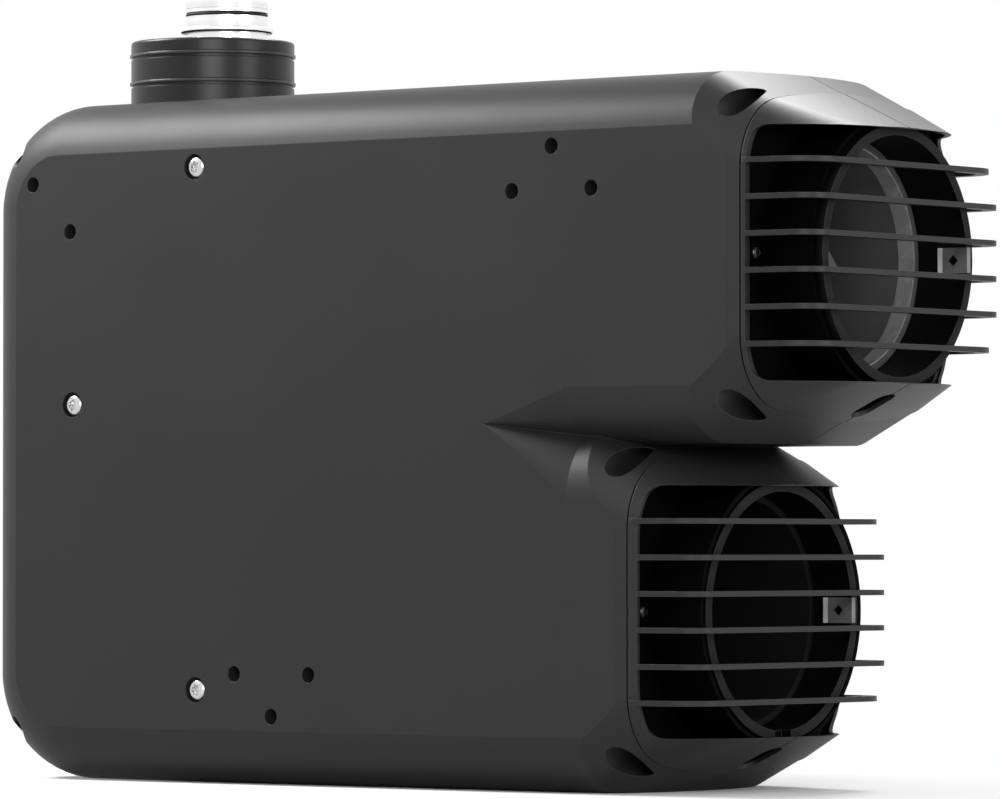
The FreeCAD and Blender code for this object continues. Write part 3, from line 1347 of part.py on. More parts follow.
def flame_tube():
    """Thin tube round the flame that turns the hot gas back along the wall."""
    x0 = EXCHANGER_START - GASKET_THICKNESS
    z = LOWER_AXIS_Z
    outer = FLAME_TUBE_RADIUS
    tube = ring_x(0, z, outer - FLAME_TUBE_WALL, outer, x0, x0 + FLAME_TUBE_LENGTH)
    foot = ring_x(0, z, outer - FLAME_TUBE_WALL, outer + FLAME_TUBE_FOOT, x0, x0 + FLAME_TUBE_WALL)
    return join([tube, foot]).cut(electrode_holes(INSULATOR_RADIUS + PAST))


def electrode_places():
    x = EXCHANGER_START + ELECTRODE_INSET
    return ((x, LOWER_AXIS_Z + ELECTRODE_SPREAD), (x, LOWER_AXIS_Z - ELECTRODE_SPREAD))


def electrode_holes(radius):
    return [rod_y(x, z, radius, -FAR, -BURNER_RADIUS) for x, z in electrode_places()]


def heat_exchanger():
    """Cast chamber with its flange, long fins, exhaust socket and electrode bosses."""
    z = LOWER_AXIS_Z
    x0 = EXCHANGER_START
    x1 = exchanger_end()
    radius = EXCHANGER_BORE + EXCHANGER_WALL
    pieces = [
        rod_x(0, z, radius, x0, x1),
        rod_x(0, z, EXCHANGER_FLANGE, x0, x0 + EXCHANGER_FLANGE_THICKNESS),
    ]
    half = EXCHANGER_FIN / 2
    for number in range(EXCHANGER_FINS):
        one = box(x0 + EXCHANGER_FIN_START, x1, -half, half, z + radius - PAST, z + EXCHANGER_FIN_RADIUS)
        one.rotate(vec(0, 0, z), vec(1, 0, 0), 360.0 * (number + 0.5) / EXCHANGER_FINS)
        pieces.append(one)
    socket_radius = EXHAUST_RADIUS + SOCKET_CLEARANCE + SOCKET_WALL
    pieces.append(rod_z(EXHAUST_X, 0, socket_radius, z, SOCKET_TOP))
    for x, level in electrode_places():
        pieces.append(rod_y(x, level, ELECTRODE_BOSS, -EXCHANGER_FIN_RADIUS, 0))
    body = join(pieces)
    bore = EXHAUST_RADIUS + SOCKET_CLEARANCE
    cuts = [
        rod_x(0, z, EXCHANGER_BORE, x0 - PAST, x1 - EXCHANGER_WALL),
        rod_z(EXHAUST_X, 0, bore, PIPE_BOTTOM - SOCKET_CLEARANCE, SOCKET_TOP + PAST),
        rod_z(EXHAUST_X, 0, bore - SOCKET_WALL, z, SOCKET_TOP),
    ]
    cuts.extend(electrode_holes(INSULATOR_RADIUS + INSULATOR_FIT))
    cuts.extend(flange_holes(x0 - PAST, x0 + EXCHANGER_FLANGE_THICKNESS - PAST, SHANK_RADIUS + THREAD_FIT))
    return body.cut(cuts)


def exhaust_gasket():
    outer = EXHAUST_RADIUS + SOCKET_CLEARANCE + SOCKET_WALL
    return ring_z(EXHAUST_X, 0, EXHAUST_RADIUS + SEAL_FIT, outer, SOCKET_TOP,
                  SOCKET_TOP + 2 * GASKET_THICKNESS)


def electrode(place, reach):
    x, z = place
    wall = -EXCHANGER_FIN_RADIUS
    insulator = rod_y(x, z, INSULATOR_RADIUS, wall - INSULATOR_HEAD, -FLAME_TUBE_RADIUS + 2 * PAST)
    collar_ring = rod_y(x, z, INSULATOR_COLLAR, wall - INSULATOR_FLANGE, wall)
    wire = rod_y(x, z, WIRE_RADIUS, wall - INSULATOR_HEAD - WIRE_TAIL, -FLAME_TUBE_RADIUS + reach)
    return join([insulator, collar_ring, wire])


def overheat_thermostat():
    x1 = exchanger_end()
    z = LOWER_AXIS_Z
    disc_end = x1 + THERMOSTAT_HEIGHT
    cap_end = disc_end + THERMOSTAT_CAP_HEIGHT
    disc = rod_x(0, z, THERMOSTAT_RADIUS, x1, disc_end)
    cap = rod_x(0, z, THERMOSTAT_CAP_RADIUS, disc_end, cap_end)
    half = TAB_WIDTH / 2
    tabs = [box(cap_end, cap_end + TAB_LENGTH, y, y + TAB_THICKNESS, z - half, z + half)
            for y in (-TAB_SPREAD, TAB_SPREAD - TAB_THICKNESS)]
    return join([disc, cap] + tabs)


def air_sensor():
    """Bead on a stalk, pushed into the wall of the outlet duct."""
    x = LOWER_LENGTH - SENSOR_SETBACK
    z = LOWER_AXIS_Z + COLLAR_BORE_RADIUS - DUCT_CLEARANCE
    body = rod_z(x, 0, SENSOR_RADIUS, z, z + SENSOR_HEIGHT)
    stalk = rod_z(x, 0, STALK_RADIUS, z - STALK_LENGTH, z)
    return join([body, stalk])


def outlet_duct():
    front = LOWER_LENGTH + LOWER_COLLAR_REACH - OUTLET_DUCT_SETBACK
    body = duct_tube(LOWER_LENGTH, LOWER_AXIS_Z, front, OUTLET_DUCT_LENGTH)
    return body.cut(rod_z(LOWER_LENGTH - SENSOR_SETBACK, 0, STALK_RADIUS + SEAL_FIT, LOWER_AXIS_Z,
                          LOWER_AXIS_Z + COLLAR_RADIUS))


def chassis_outline(grow):
    y1 = -FRONT_BOSS_END + CHASSIS_CLEARANCE + CHASSIS_THICKNESS
    y0 = -FRONT_BOSS_END + CHASSIS_CLEARANCE
    return box(CHASSIS_LEFT - grow, CHASSIS_RIGHT + grow, y0 - grow, y1 + grow,
               CHASSIS_LOW - grow, CHASSIS_HIGH + grow)


def front_chassis():
    """Steel plate behind the front wall that takes the three visible screws."""
    body = chassis_outline(0.0)
    y1 = -FRONT_BOSS_END + CHASSIS_CLEARANCE + CHASSIS_THICKNESS
    nuts = [rod_y(x, z, NUT_RADIUS, y1 - ROOT, y1 + NUT_HEIGHT) for x, z in FRONT_SCREWS]
    body = join([body] + nuts)
    x = electrode_places()[0][0]
    window = box(x - WINDOW_HALF_LENGTH, x + WINDOW_HALF_LENGTH, -FAR, 0,
                 LOWER_AXIS_Z - WINDOW_HALF_HEIGHT, LOWER_AXIS_Z + WINDOW_HALF_HEIGHT)
    holes = [rod_y(px, pz, SHANK_RADIUS + THREAD_FIT, -FAR, 0) for px, pz in FRONT_SCREWS]
    return body.cut([window] + holes)


def front_screws():
    seat = -HALF_DEPTH + FRONT_COUNTERBORE_DEPTH
    screws = []
    for x, z in FRONT_SCREWS:
        head = rod_y(x, z, HEAD_RADIUS, seat - HEAD_HEIGHT, seat)
        rim = [edge for edge in head.Edges if edge.Closed and edge.BoundBox.YMax < seat - PAST]
        head = head.makeFillet(HEAD_EDGE, rim)
        shank = rod_y(x, z, SHANK_RADIUS, seat, -FRONT_BOSS_END + NUT_HEIGHT + PAST)
        recess = star(x, z, HEAD_RADIUS / 2, seat - HEAD_HEIGHT - PAST, seat - HEAD_HEIGHT + RECESS_DEPTH)
        screws.append(join([head, shank]).cut(recess))
    return Part.makeCompound(screws)


def star(x, z, outer, y0, y1):
    """Six-pointed screw recess."""
    points = []
    for number in range(12):
        radius = outer if number % 2 == 0 else outer * STAR_WAIST
        turn = math.pi * number / 6
        points.append(vec(x + radius * math.cos(turn), y0, z + radius * math.sin(turn)))
    outline = Part.makePolygon(points + [points[0]])
    return Part.Face(outline).extrude(vec(0, y1 - y0, 0))


def corner_screws():
    screws = []
    for x, z in corner_places():
        top = -POCKET_FLOOR - HEAD_HEIGHT
        head = rod_y(x, z, CORNER_HEAD_RADIUS, top, -POCKET_FLOOR)
        shank = rod_y(x, z, SHANK_RADIUS, -POCKET_FLOOR, PILOT_DEPTH - SCREW_END_GAP)
        recess = star(x, z, CORNER_HEAD_RADIUS / 2, top - PAST, top + RECESS_DEPTH)
        screws.append(join([head, shank]).cut(recess))
    return Part.makeCompound(screws)


def valve_y():
    return GAS_PIPE_Y - VALVE_WIDTH / 2, GAS_PIPE_Y + VALVE_WIDTH / 2


def coil_places():
    middle = VALVE_START + VALVE_LENGTH / 2
    return (middle - COIL_PITCH / 2, middle + COIL_PITCH / 2)


def gas_valve():
    y0, y1 = valve_y()
    z0 = GAS_PIPE_Z - VALVE_HEIGHT / 2
    z1 = GAS_PIPE_Z + VALVE_HEIGHT / 2
    body = box(VALVE_START, VALVE_START + VALVE_LENGTH, y0, y1, z0, z1)
    upright = [edge for edge in body.Edges if edge.BoundBox.ZLength > VALVE_HEIGHT - PAST]
    body = body.makeFillet(VALVE_EDGE, upright)
    cores = [rod_z(x, GAS_PIPE_Y, PLUNGER_RADIUS + CORE_WALL, z1 - PAST, z1 + COIL_LENGTH + CORE_TAIL)
             for x in coil_places()]
    body = join([body] + cores)
    cuts = [rod_x(GAS_PIPE_Y, GAS_PIPE_Z, GAS_PIPE_RADIUS, VALVE_START - PAST,
                  VALVE_START + GAS_PIPE_SEAT + PAST)]
    for x in coil_places():
        cuts.append(rod_z(x, GAS_PIPE_Y, PLUNGER_RADIUS + PLUNGER_CLEARANCE, plunger_low(),
                          plunger_top() + SPRING_LENGTH))
    cuts.append(rod_z(VALVE_START + FEED_PORT, GAS_PIPE_Y, FEED_PIPE_RADIUS, z0 - PAST,
                      z0 + FEED_SEAT + PAST))
    return body.cut(cuts)


def plunger_low():
    return GAS_PIPE_Z + VALVE_HEIGHT / 2 - PLUNGER_SEAT


def plunger_top():
    return plunger_low() + PLUNGER_LENGTH


def valve_plunger(x):
    return rod_z(x, GAS_PIPE_Y, PLUNGER_RADIUS, plunger_low(), plunger_top())


def valve_spring(x):
    """Coil spring between the plunger and the top of its core."""
    height = SPRING_LENGTH - 2 * SPRING_WIRE - 2 * SPRING_FIT
    helix = Part.makeHelix(height / SPRING_TURNS, height, SPRING_RADIUS)
    start = Part.makeCircle(SPRING_WIRE, vec(SPRING_RADIUS, 0, 0), vec(0, 1, 0))
    spring = Part.Wire(helix).makePipeShell([Part.Wire(start)], True, True)
    spring.translate(vec(x, GAS_PIPE_Y, plunger_top() + SPRING_WIRE + SPRING_FIT))
    return spring


def valve_coils():
    z0 = GAS_PIPE_Z + VALVE_HEIGHT / 2
    coils = []
    for x in coil_places():
        bobbin = rod_z(x, GAS_PIPE_Y, COIL_RADIUS, z0, z0 + COIL_LENGTH)
        low = z0 + COIL_TAB_LOW
        tab = box(x - COIL_TAB_WIDTH / 2, x + COIL_TAB_WIDTH / 2, GAS_PIPE_Y,
                  GAS_PIPE_Y + COIL_RADIUS + COIL_TAB_REACH, low, low + COIL_TAB_HEIGHT)
        one = join([bobbin, tab])
        bore = PLUNGER_RADIUS + CORE_WALL + COIL_FIT
        coils.append(one.cut(rod_z(x, GAS_PIPE_Y, bore, z0 - PAST, z0 + FAR)))
    return Part.makeCompound(coils)


def gas_inlet_pipe():
    pipe = ring_x(GAS_PIPE_Y, GAS_PIPE_Z, GAS_PIPE_RADIUS - GAS_PIPE_WALL, GAS_PIPE_RADIUS,
                  -GAS_STUB, VALVE_START + GAS_PIPE_SEAT)
    collar_ring = ring_x(GAS_PIPE_Y, GAS_PIPE_Z, GAS_PIPE_RADIUS - GAS_PIPE_WALL, PIPE_NUT_RADIUS,
                         VALVE_START - PIPE_NUT_LENGTH, VALVE_START)
    stop = ring_x(GAS_PIPE_Y, GAS_PIPE_Z, GAS_PIPE_RADIUS - GAS_PIPE_WALL, GAS_PIPE_RADIUS + STOP_REACH,
                  -GAS_STOP - STOP_WIDTH, -GAS_STOP)
    return join([pipe, collar_ring, stop])


def pipe_run(points, bend, radius):
    """A round bar along straight runs with tangent bends."""
    edges = []
    last = points[0]
    for before, corner, after in zip(points, points[1:], points[2:]):
        into = (corner - before).normalize()
        out = (after - corner).normalize()
        half_turn = into.getAngle(out) / 2
        cut_back = bend * math.tan(half_turn)
        start = corner - into * cut_back
        end = corner + out * cut_back
        inward = (out - into).normalize()
        middle = corner + inward * (bend / math.cos(half_turn) - bend)
        edges.append(Part.makeLine(last, start))
        edges.append(Part.Arc(start, middle, end).toShape())
        last = end
    edges.append(Part.makeLine(last, points[-1]))
    path = Part.Wire(edges)
    first = (points[1] - points[0]).normalize()
    profile = Part.Wire(Part.makeCircle(radius, points[0], first))
    return path.makePipeShell([profile], True, True)


def feed_pipe_points():
    x0, x1 = duct_x()
    middle = (x0 + x1) / 2
    z0 = GAS_PIPE_Z - VALVE_HEIGHT / 2
    jet_end = DUCT_HALF_WIDTH - SPOUT_FIT + JET_HEAD
    run_y = GAS_PIPE_Y + FEED_OFFSET
    return [
        vec(VALVE_START + FEED_PORT, GAS_PIPE_Y, z0 + FEED_SEAT),
        vec(VALVE_START + FEED_PORT, GAS_PIPE_Y, FEED_PIPE_Z + FEED_DROP),
        vec(middle + FEED_LAST_RUN, run_y, FEED_PIPE_Z),
        vec(middle, run_y, FEED_PIPE_Z),
        vec(middle, jet_end, FEED_PIPE_Z),
    ]


def gas_nozzle():
    """Brass jet that meters the gas into the air duct."""
    x0, x1 = duct_x()
    x = (x0 + x1) / 2
    wall = DUCT_HALF_WIDTH - SPOUT_FIT
    jet = rod_y(x, FEED_PIPE_Z, FEED_PIPE_RADIUS + JET_WALL, wall - JET_LENGTH, wall + JET_HEAD)
    head = rod_y(x, FEED_PIPE_Z, JET_HEAD_RADIUS, wall, wall + JET_HEAD)
    bore = rod_y(x, FEED_PIPE_Z, JET_BORE, wall - JET_LENGTH - PAST, wall + JET_HEAD + PAST)
    return join([jet, head]).cut(bore)


def board_posts():
    places = []
    for x in (BOARD_X + BOARD_EDGE, BOARD_X + BOARD_LENGTH - BOARD_EDGE):
        for z in (BOARD_LOW + BOARD_EDGE, BOARD_LOW + BOARD_HEIGHT - BOARD_EDGE):
            places.append((x, z))
    return places


def control_board():
    board = box(BOARD_X, BOARD_X + BOARD_LENGTH, BOARD_Y, BOARD_Y + BOARD_THICKNESS, BOARD_LOW,
                BOARD_LOW + BOARD_HEIGHT)
    return board.cut([rod_y(x, z, BOARD_HOLE_RADIUS, 0, FAR) for x, z in board_posts()])


def on_board(x, low, length, width, height):
    """A block that stands on the board, placed from the board's lower left corner."""
    return box(BOARD_X + x, BOARD_X + x + length, BOARD_Y - height, BOARD_Y,
               BOARD_LOW + low, BOARD_LOW + low + width)


def board_parts():
    """Relays, a transformer and two capacitors on the board."""
    parts = []
    for x in RELAY_PLACES:
        parts.append(on_board(x, RELAY_LOW, RELAY_LENGTH, RELAY_WIDTH, RELAY_HEIGHT))
    parts.append(on_board(COIL_BLOCK_X, COIL_BLOCK_LOW, COIL_BLOCK, COIL_BLOCK, COIL_BLOCK_HEIGHT))
    for x in CAPACITOR_PLACES:
        parts.append(rod_y(BOARD_X + x, BOARD_LOW + CAPACITOR_LEVEL, CAPACITOR_RADIUS,
                           BOARD_Y - CAPACITOR_HEIGHT, BOARD_Y))
    return Part.makeCompound(parts)


def board_connectors():
    blocks = []
    wall = CONNECTOR_WALL
    for x in CONNECTOR_PLACES:
        block = on_board(x, CONNECTOR_LOW, CONNECTOR_LENGTH, CONNECTOR_WIDTH, CONNECTOR_HEIGHT)
        room = on_board(x + wall, CONNECTOR_LOW + wall, CONNECTOR_LENGTH - 2 * wall,
                        CONNECTOR_WIDTH - 2 * wall, CONNECTOR_HEIGHT + PAST)
        room = room.cut(on_board(x, CONNECTOR_LOW, CONNECTOR_LENGTH, CONNECTOR_WIDTH, CONNECTOR_BASE))
        blocks.append(block.cut(room))
    return Part.makeCompound(blocks)


def electronics_cover():
    """Splash cover over the board, open towards the board."""
    grow = COVER_OVERLAP
    y0 = BOARD_Y - COVER_DEPTH
    outer = box(BOARD_X - grow, BOARD_X + BOARD_LENGTH + grow, y0, BOARD_Y + BOARD_THICKNESS + grow,
                BOARD_LOW - grow, BOARD_LOW + BOARD_HEIGHT + grow)
    upright = [edge for edge in outer.Edges if edge.BoundBox.YLength > COVER_DEPTH]
    outer = outer.makeFillet(COVER_CORNER, upright)
    inner = box(BOARD_X - grow + COVER_WALL, BOARD_X + BOARD_LENGTH + grow - COVER_WALL,
                y0 + COVER_WALL, HALF_DEPTH, BOARD_LOW - grow + COVER_WALL,
                BOARD_LOW + BOARD_HEIGHT + grow - COVER_WALL)
    cover = outer.cut(inner)
    slots = []
    for number in range(VENT_COUNT):
        x = BOARD_X + VENT_START + VENT_PITCH * number
        slots.append(box(x, x + VENT_WIDTH, y0 - PAST, y0 + COVER_WALL + PAST,
                         BOARD_LOW + VENT_LOW, BOARD_LOW + VENT_LOW + VENT_HEIGHT))
    cable = box(BOARD_X + CABLE_GAP_START, BOARD_X + CABLE_GAP_END, y0 + 3 * COVER_WALL,
                BOARD_Y - COVER_WALL, BOARD_LOW - grow - PAST, BOARD_LOW)
    feet = [rod_y(x, z, POST_RADIUS, y0 + COVER_WALL / 2, BOARD_Y) for x, z in board_posts()]
    holes = [rod_y(x, z, BOARD_HOLE_RADIUS, y0 - PAST, BOARD_Y + PAST) for x, z in board_posts()]
    return join([cover.cut(slots + [cable])] + feet).cut(holes)


def board_screws():
    screws = []
    y0 = BOARD_Y - COVER_DEPTH
    for x, z in board_posts():
        head = rod_y(x, z, BOARD_HEAD_RADIUS, y0 - BOARD_HEAD_HEIGHT, y0)
        shank = rod_y(x, z, POST_PILOT_RADIUS - THREAD_FIT, y0, BOARD_Y + POST_PILOT_DEPTH - 2 * PAST)
        screws.append(join([head, shank]))
    return Part.makeCompound(screws)


def wall_grommet(y, z, bore, hole):
    """Rubber ring in a hole of the left wall, with a lip on each side."""
    radius = hole - GROMMET_CLEARANCE
    lip = radius + GROMMET_LIP
    neck = ring_x(y, z, bore, radius, -GROMMET_REACH, WALL + GROMMET_REACH)
    outside = ring_x(y, z, bore, lip, -GROMMET_REACH, -GROMMET_CLEARANCE)
    inside = ring_x(y, z, bore, lip, WALL + GROMMET_CLEARANCE, WALL + GROMMET_REACH)
    return join([neck, outside, inside])


def build():
    nodes = casing_shells()
    nodes["intake_grille"] = grille(CASE_LENGTH, UPPER_AXIS_Z, UPPER_FRAME_STRIP)
    nodes["outlet_grille"] = grille(LOWER_LENGTH, LOWER_AXIS_Z, LOWER_FRAME_STRIP)
    nodes["intake_port"] = port(CASE_LENGTH, UPPER_AXIS_Z, UPPER_COLLAR_REACH, UPPER_PORT_SETBACK)
    nodes["outlet_port"] = port(LOWER_LENGTH, LOWER_AXIS_Z, LOWER_COLLAR_REACH, LOWER_PORT_SETBACK)
    nodes["intake_collar"] = collar(CASE_LENGTH, UPPER_AXIS_Z, UPPER_COLLAR_REACH, False)
    nodes["outlet_collar"] = collar(LOWER_LENGTH, LOWER_AXIS_Z, LOWER_COLLAR_REACH, True)
    nodes["intake_clip"] = collar_clip(CASE_LENGTH, UPPER_AXIS_Z, UPPER_COLLAR_REACH)
    nodes["outlet_clip"] = collar_clip(LOWER_LENGTH, LOWER_AXIS_Z, LOWER_COLLAR_REACH)
    nodes["port_screws"] = port_screws()
    nodes["outlet_duct"] = outlet_duct()
    nodes["circulation_housing"] = circulation_housing()
    start, end = circulation_motor_x()
    nodes["circulation_motor"] = motor(0, UPPER_AXIS_Z, FAN_MOTOR_RADIUS, start, end, FAN_SHAFT_RADIUS)
    nodes["circulation_bearings"] = Part.makeCompound(
        bearings(0, UPPER_AXIS_Z, start, end, FAN_SHAFT_RADIUS))
    nodes["circulation_shaft"] = circulation_shaft()
    nodes["circulation_impeller"] = circulation_impeller()
    nodes["nozzle_ring"] = nozzle_ring()
    nodes["combustion_air_collar"] = combustion_air_collar()
    nodes["collar_seals"] = collar_seals()
    nodes["exhaust_pipe"] = exhaust_pipe()
    nodes["exhaust_seal"] = exhaust_seal()
    nodes["exhaust_gasket"] = exhaust_gasket()
    nodes["air_plenum"] = air_plenum()
    nodes["air_duct"] = air_duct()
    nodes["blower_housing"] = blower_housing()
    nodes["blower_cover"] = blower_cover()
    blower_start = blower_x()[0]
    motor_start = blower_start - BLOWER_MOTOR_LENGTH
    nodes["blower_motor"] = motor(0, LOWER_AXIS_Z, BLOWER_MOTOR_RADIUS, motor_start, blower_start,
                                  BLOWER_SHAFT_RADIUS)
    nodes["blower_bearings"] = Part.makeCompound(
        bearings(0, LOWER_AXIS_Z, motor_start, blower_start, BLOWER_SHAFT_RADIUS))
    nodes["blower_shaft"] = blower_shaft()
    nodes["blower_impeller"] = blower_impeller()
    nodes["burner_bulkhead"] = burner_bulkhead()
    nodes["bulkhead_gasket"] = bulkhead_gasket()
    nodes["exchanger_screws"] = exchanger_screws()
    nodes["burner_tube"] = burner_tube()
    nodes["flame_tube"] = flame_tube()
    nodes["heat_exchanger"] = heat_exchanger()
    nodes["ignition_electrode"] = electrode(electrode_places()[0], IGNITION_REACH)
    nodes["flame_electrode"] = electrode(electrode_places()[1], SENSING_REACH)
    nodes["overheat_thermostat"] = overheat_thermostat()
    nodes["air_sensor"] = air_sensor()
    nodes["front_chassis"] = front_chassis()
    nodes["front_screws"] = front_screws()
    nodes["corner_screws"] = corner_screws()
    nodes["gas_valve"] = gas_valve()
    nodes["valve_coils"] = valve_coils()
    safety_x, main_x = coil_places()
    nodes["safety_plunger"] = valve_plunger(safety_x)
    nodes["main_plunger"] = valve_plunger(main_x)
    nodes["safety_spring"] = valve_spring(safety_x)
    nodes["main_spring"] = valve_spring(main_x)
    nodes["gas_inlet_pipe"] = gas_inlet_pipe()
    nodes["gas_feed_pipe"] = pipe_run(feed_pipe_points(), FEED_BEND, FEED_PIPE_RADIUS)
    nodes["gas_nozzle"] = gas_nozzle()
    nodes["gas_grommet"] = wall_grommet(GAS_PIPE_Y, GAS_PIPE_Z, GAS_PIPE_RADIUS + GROMMET_CLEARANCE,
                                        GAS_PIPE_RADIUS + GROMMET_NECK)
    nodes["cable_grommet"] = wall_grommet(CABLE_Y, CABLE_Z, CABLE_RADIUS, CABLE_RADIUS + GROMMET_NECK)
    nodes["control_board"] = control_board()
    nodes["board_parts"] = board_parts()
    nodes["board_connectors"] = board_connectors()
    nodes["electronics_cover"] = electronics_cover()
    nodes["board_screws"] = board_screws()
    return nodes


middle_x = (CASE_LENGTH + FIN_REACH - GAS_STUB) / 2
os.makedirs("parts", exist_ok=True)
for name, shape in build().items():
    shape = shape.copy()
    shape.translate(vec(-middle_x, 0, 0))
    shape.exportStep("parts/" + name + ".step")
    box_now = shape.BoundBox
    print(f"{name:24s} solids {len(shape.Solids)} valid {shape.isValid()} volume {shape.Volume:11.1f}"
          f"  x {box_now.XMin:7.1f} {box_now.XMax:7.1f}  y {box_now.YMin:6.1f} {box_now.YMax:6.1f}"
          f"  z {box_now.ZMin:6.1f} {box_now.ZMax:6.1f}")
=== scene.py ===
import bpy
import math
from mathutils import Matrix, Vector


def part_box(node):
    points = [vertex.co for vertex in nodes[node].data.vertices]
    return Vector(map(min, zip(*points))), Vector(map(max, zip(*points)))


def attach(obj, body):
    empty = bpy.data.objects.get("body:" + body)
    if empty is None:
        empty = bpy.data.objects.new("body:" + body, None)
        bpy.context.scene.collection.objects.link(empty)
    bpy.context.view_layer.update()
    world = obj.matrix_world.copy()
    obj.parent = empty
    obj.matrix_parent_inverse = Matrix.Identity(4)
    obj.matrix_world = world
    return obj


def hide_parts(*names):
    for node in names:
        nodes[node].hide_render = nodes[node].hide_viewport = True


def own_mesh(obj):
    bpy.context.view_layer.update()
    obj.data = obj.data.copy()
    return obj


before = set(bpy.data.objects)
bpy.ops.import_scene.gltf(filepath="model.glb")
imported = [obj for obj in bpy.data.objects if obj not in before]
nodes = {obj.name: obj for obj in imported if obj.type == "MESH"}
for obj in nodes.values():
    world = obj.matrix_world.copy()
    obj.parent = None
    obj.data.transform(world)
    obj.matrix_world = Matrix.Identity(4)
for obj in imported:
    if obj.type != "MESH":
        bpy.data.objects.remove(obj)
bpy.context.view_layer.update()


# The casing: two deep half shells that meet on a parting line at mid depth.
# Dark grey talc-filled polypropylene, injection moulded against a spark-eroded tool, so the
# skin is finely grained and satin, with a paler colour along the edges as a painted highlight.
CASING_GREY = (0.020, 0.020, 0.0204, 1.0)
# A paler colour for the edges: a painted highlight.
EDGE_HIGHLIGHT_GREY = (0.080, 0.080, 0.082, 1.0)
EDGE_RADIUS = 0.0004
CASING_SHINE = 0.22
FLOW_SIZE = 0.11


def object_place(tree):
    """Where a pattern sits: the piece's own coordinates, in metres."""
    return tree.nodes.new("ShaderNodeTexCoord").outputs["Object"]


def noise(tree, place, size, detail=2.0):
    """A soft irregular pattern whose marks are about one size across."""
    pattern = tree.nodes.new("ShaderNodeTexNoise")
    pattern.inputs["Scale"].default_value = 1.0 / size
    pattern.inputs["Detail"].default_value = detail
    tree.links.new(place, pattern.inputs["Vector"])
    return pattern.outputs["Fac"]


def between(tree, value, low, high, start=0.25, stop=0.75):
    """A pattern turned into a range of numbers."""
    span = tree.nodes.new("ShaderNodeMapRange")
    span.inputs["From Min"].default_value = start
    span.inputs["From Max"].default_value = stop
    span.inputs["To Min"].default_value = low
    span.inputs["To Max"].default_value = high
    tree.links.new(value, span.inputs["Value"])
    return span.outputs["Result"]


def uneven(tree, pattern, middle, swing):
    """A number that wanders about its middle with a pattern."""
    return between(tree, pattern, middle - swing, middle + swing)


def blend_colours(tree, factor, first, second):
    """The first colour where the factor is 0, the second where it is 1."""
    mix = tree.nodes.new("ShaderNodeMix")
    mix.data_type = "RGBA"
    tree.links.new(factor, mix.inputs["Factor"])
    for socket, colour in (("A", first), ("B", second)):
        if isinstance(colour, tuple):
            mix.inputs[socket].default_value = colour
        else:
            tree.links.new(colour, mix.inputs[socket])
    return mix.outputs["Result"]


def shaded(colour, factor):
    """A colour made darker or paler."""
    return tuple(part * factor for part in colour[:3]) + (1.0,)


def mottled(tree, pattern, colour, dark, pale):
    """A colour that wanders between a darker and a paler shade of itself."""
    share = between(tree, pattern, low=0.0, high=1.0)
    return blend_colours(tree, share, shaded(colour, dark), shaded(colour, pale))


def raise_surface(tree, height, depth, strength, start=None):
    """A pattern as relief, on the plain shape or on an earlier relief."""
    relief = tree.nodes.new("ShaderNodeBump")
    relief.inputs["Strength"].default_value = strength
    relief.inputs["Distance"].default_value = depth
    tree.links.new(height, relief.inputs["Height"])
    if start:
        tree.links.new(start, relief.inputs["Normal"])
    return relief.outputs["Normal"]


def new_material(name, metallic=0.0):
    """An empty finish: the material, its tree and its surface shader."""
    material = bpy.data.materials.new(name)
    material.use_nodes = True
    tree = material.node_tree
    surface = tree.nodes["Principled BSDF"]
    surface.inputs["Metallic"].default_value = metallic
    return material, tree, surface


def dress(tree, surface, skin, roughness, relief):
    """Joins colour, roughness and relief to the surface."""
    tree.links.new(skin, surface.inputs["Base Color"])
    tree.links.new(roughness, surface.inputs["Roughness"])
    tree.links.new(relief, surface.inputs["Normal"])


def edge_highlight_and_normal(tree, radius):
    """How far a place is from being flat, the mask of a painted edge highlight: 0 on a face, 1 on a sharp edge.
    And the eased edge's normal.
    """
    eased = tree.nodes.new("ShaderNodeBevel")
    eased.samples = 4
    eased.inputs["Radius"].default_value = radius
    plain = tree.nodes.new("ShaderNodeNewGeometry")
    turn = tree.nodes.new("ShaderNodeVectorMath")
    turn.operation = "DOT_PRODUCT"
    tree.links.new(eased.outputs["Normal"], turn.inputs[0])
    tree.links.new(plain.outputs["Normal"], turn.inputs[1])
    highlight_mask = between(tree, turn.outputs["Value"], low=1.0, high=0.0, start=0.75, stop=0.99)
    return highlight_mask, eased.outputs["Normal"]


def moulded_plastic(name, colour, roughness, grain, depth, shine=0.5, edge=0.0, edge_highlight_colour=None):
    """Injection-moulded plastic: slow flow marks, a fine eroded grain and a painted highlight on the edges."""
    material, tree, surface = new_material(name)
    surface.inputs["Specular IOR Level"].default_value = shine
    place = object_place(tree)
    flow = noise(tree, place, FLOW_SIZE, detail=3.0)
    skin = mottled(tree, flow, colour, dark=0.92, pale=1.08)
    rounded = None
    if edge:
        highlight_mask, rounded = edge_highlight_and_normal(tree, edge)
        # The edges take the paler colour as a painted highlight.
        skin = blend_colours(tree, highlight_mask, skin, edge_highlight_colour)
    relief = raise_surface(tree, noise(tree, place, grain), depth, strength=0.5, start=rounded)
    dress(tree, surface, skin, uneven(tree, flow, roughness, swing=0.03), relief)
    return material


def finish_node(material, *names):
    """The named pieces keep their own shape and get this finish."""
    for name in names:
        mesh = nodes[name].data
        mesh.materials.clear()
        mesh.materials.append(material)


casing_plastic = moulded_plastic("casing_plastic", CASING_GREY, roughness=0.47, grain=0.0006, depth=0.00005,
                                 shine=CASING_SHINE, edge=EDGE_RADIUS, edge_highlight_colour=EDGE_HIGHLIGHT_GREY)
finish_node(casing_plastic, "front_shell", "rear_shell")


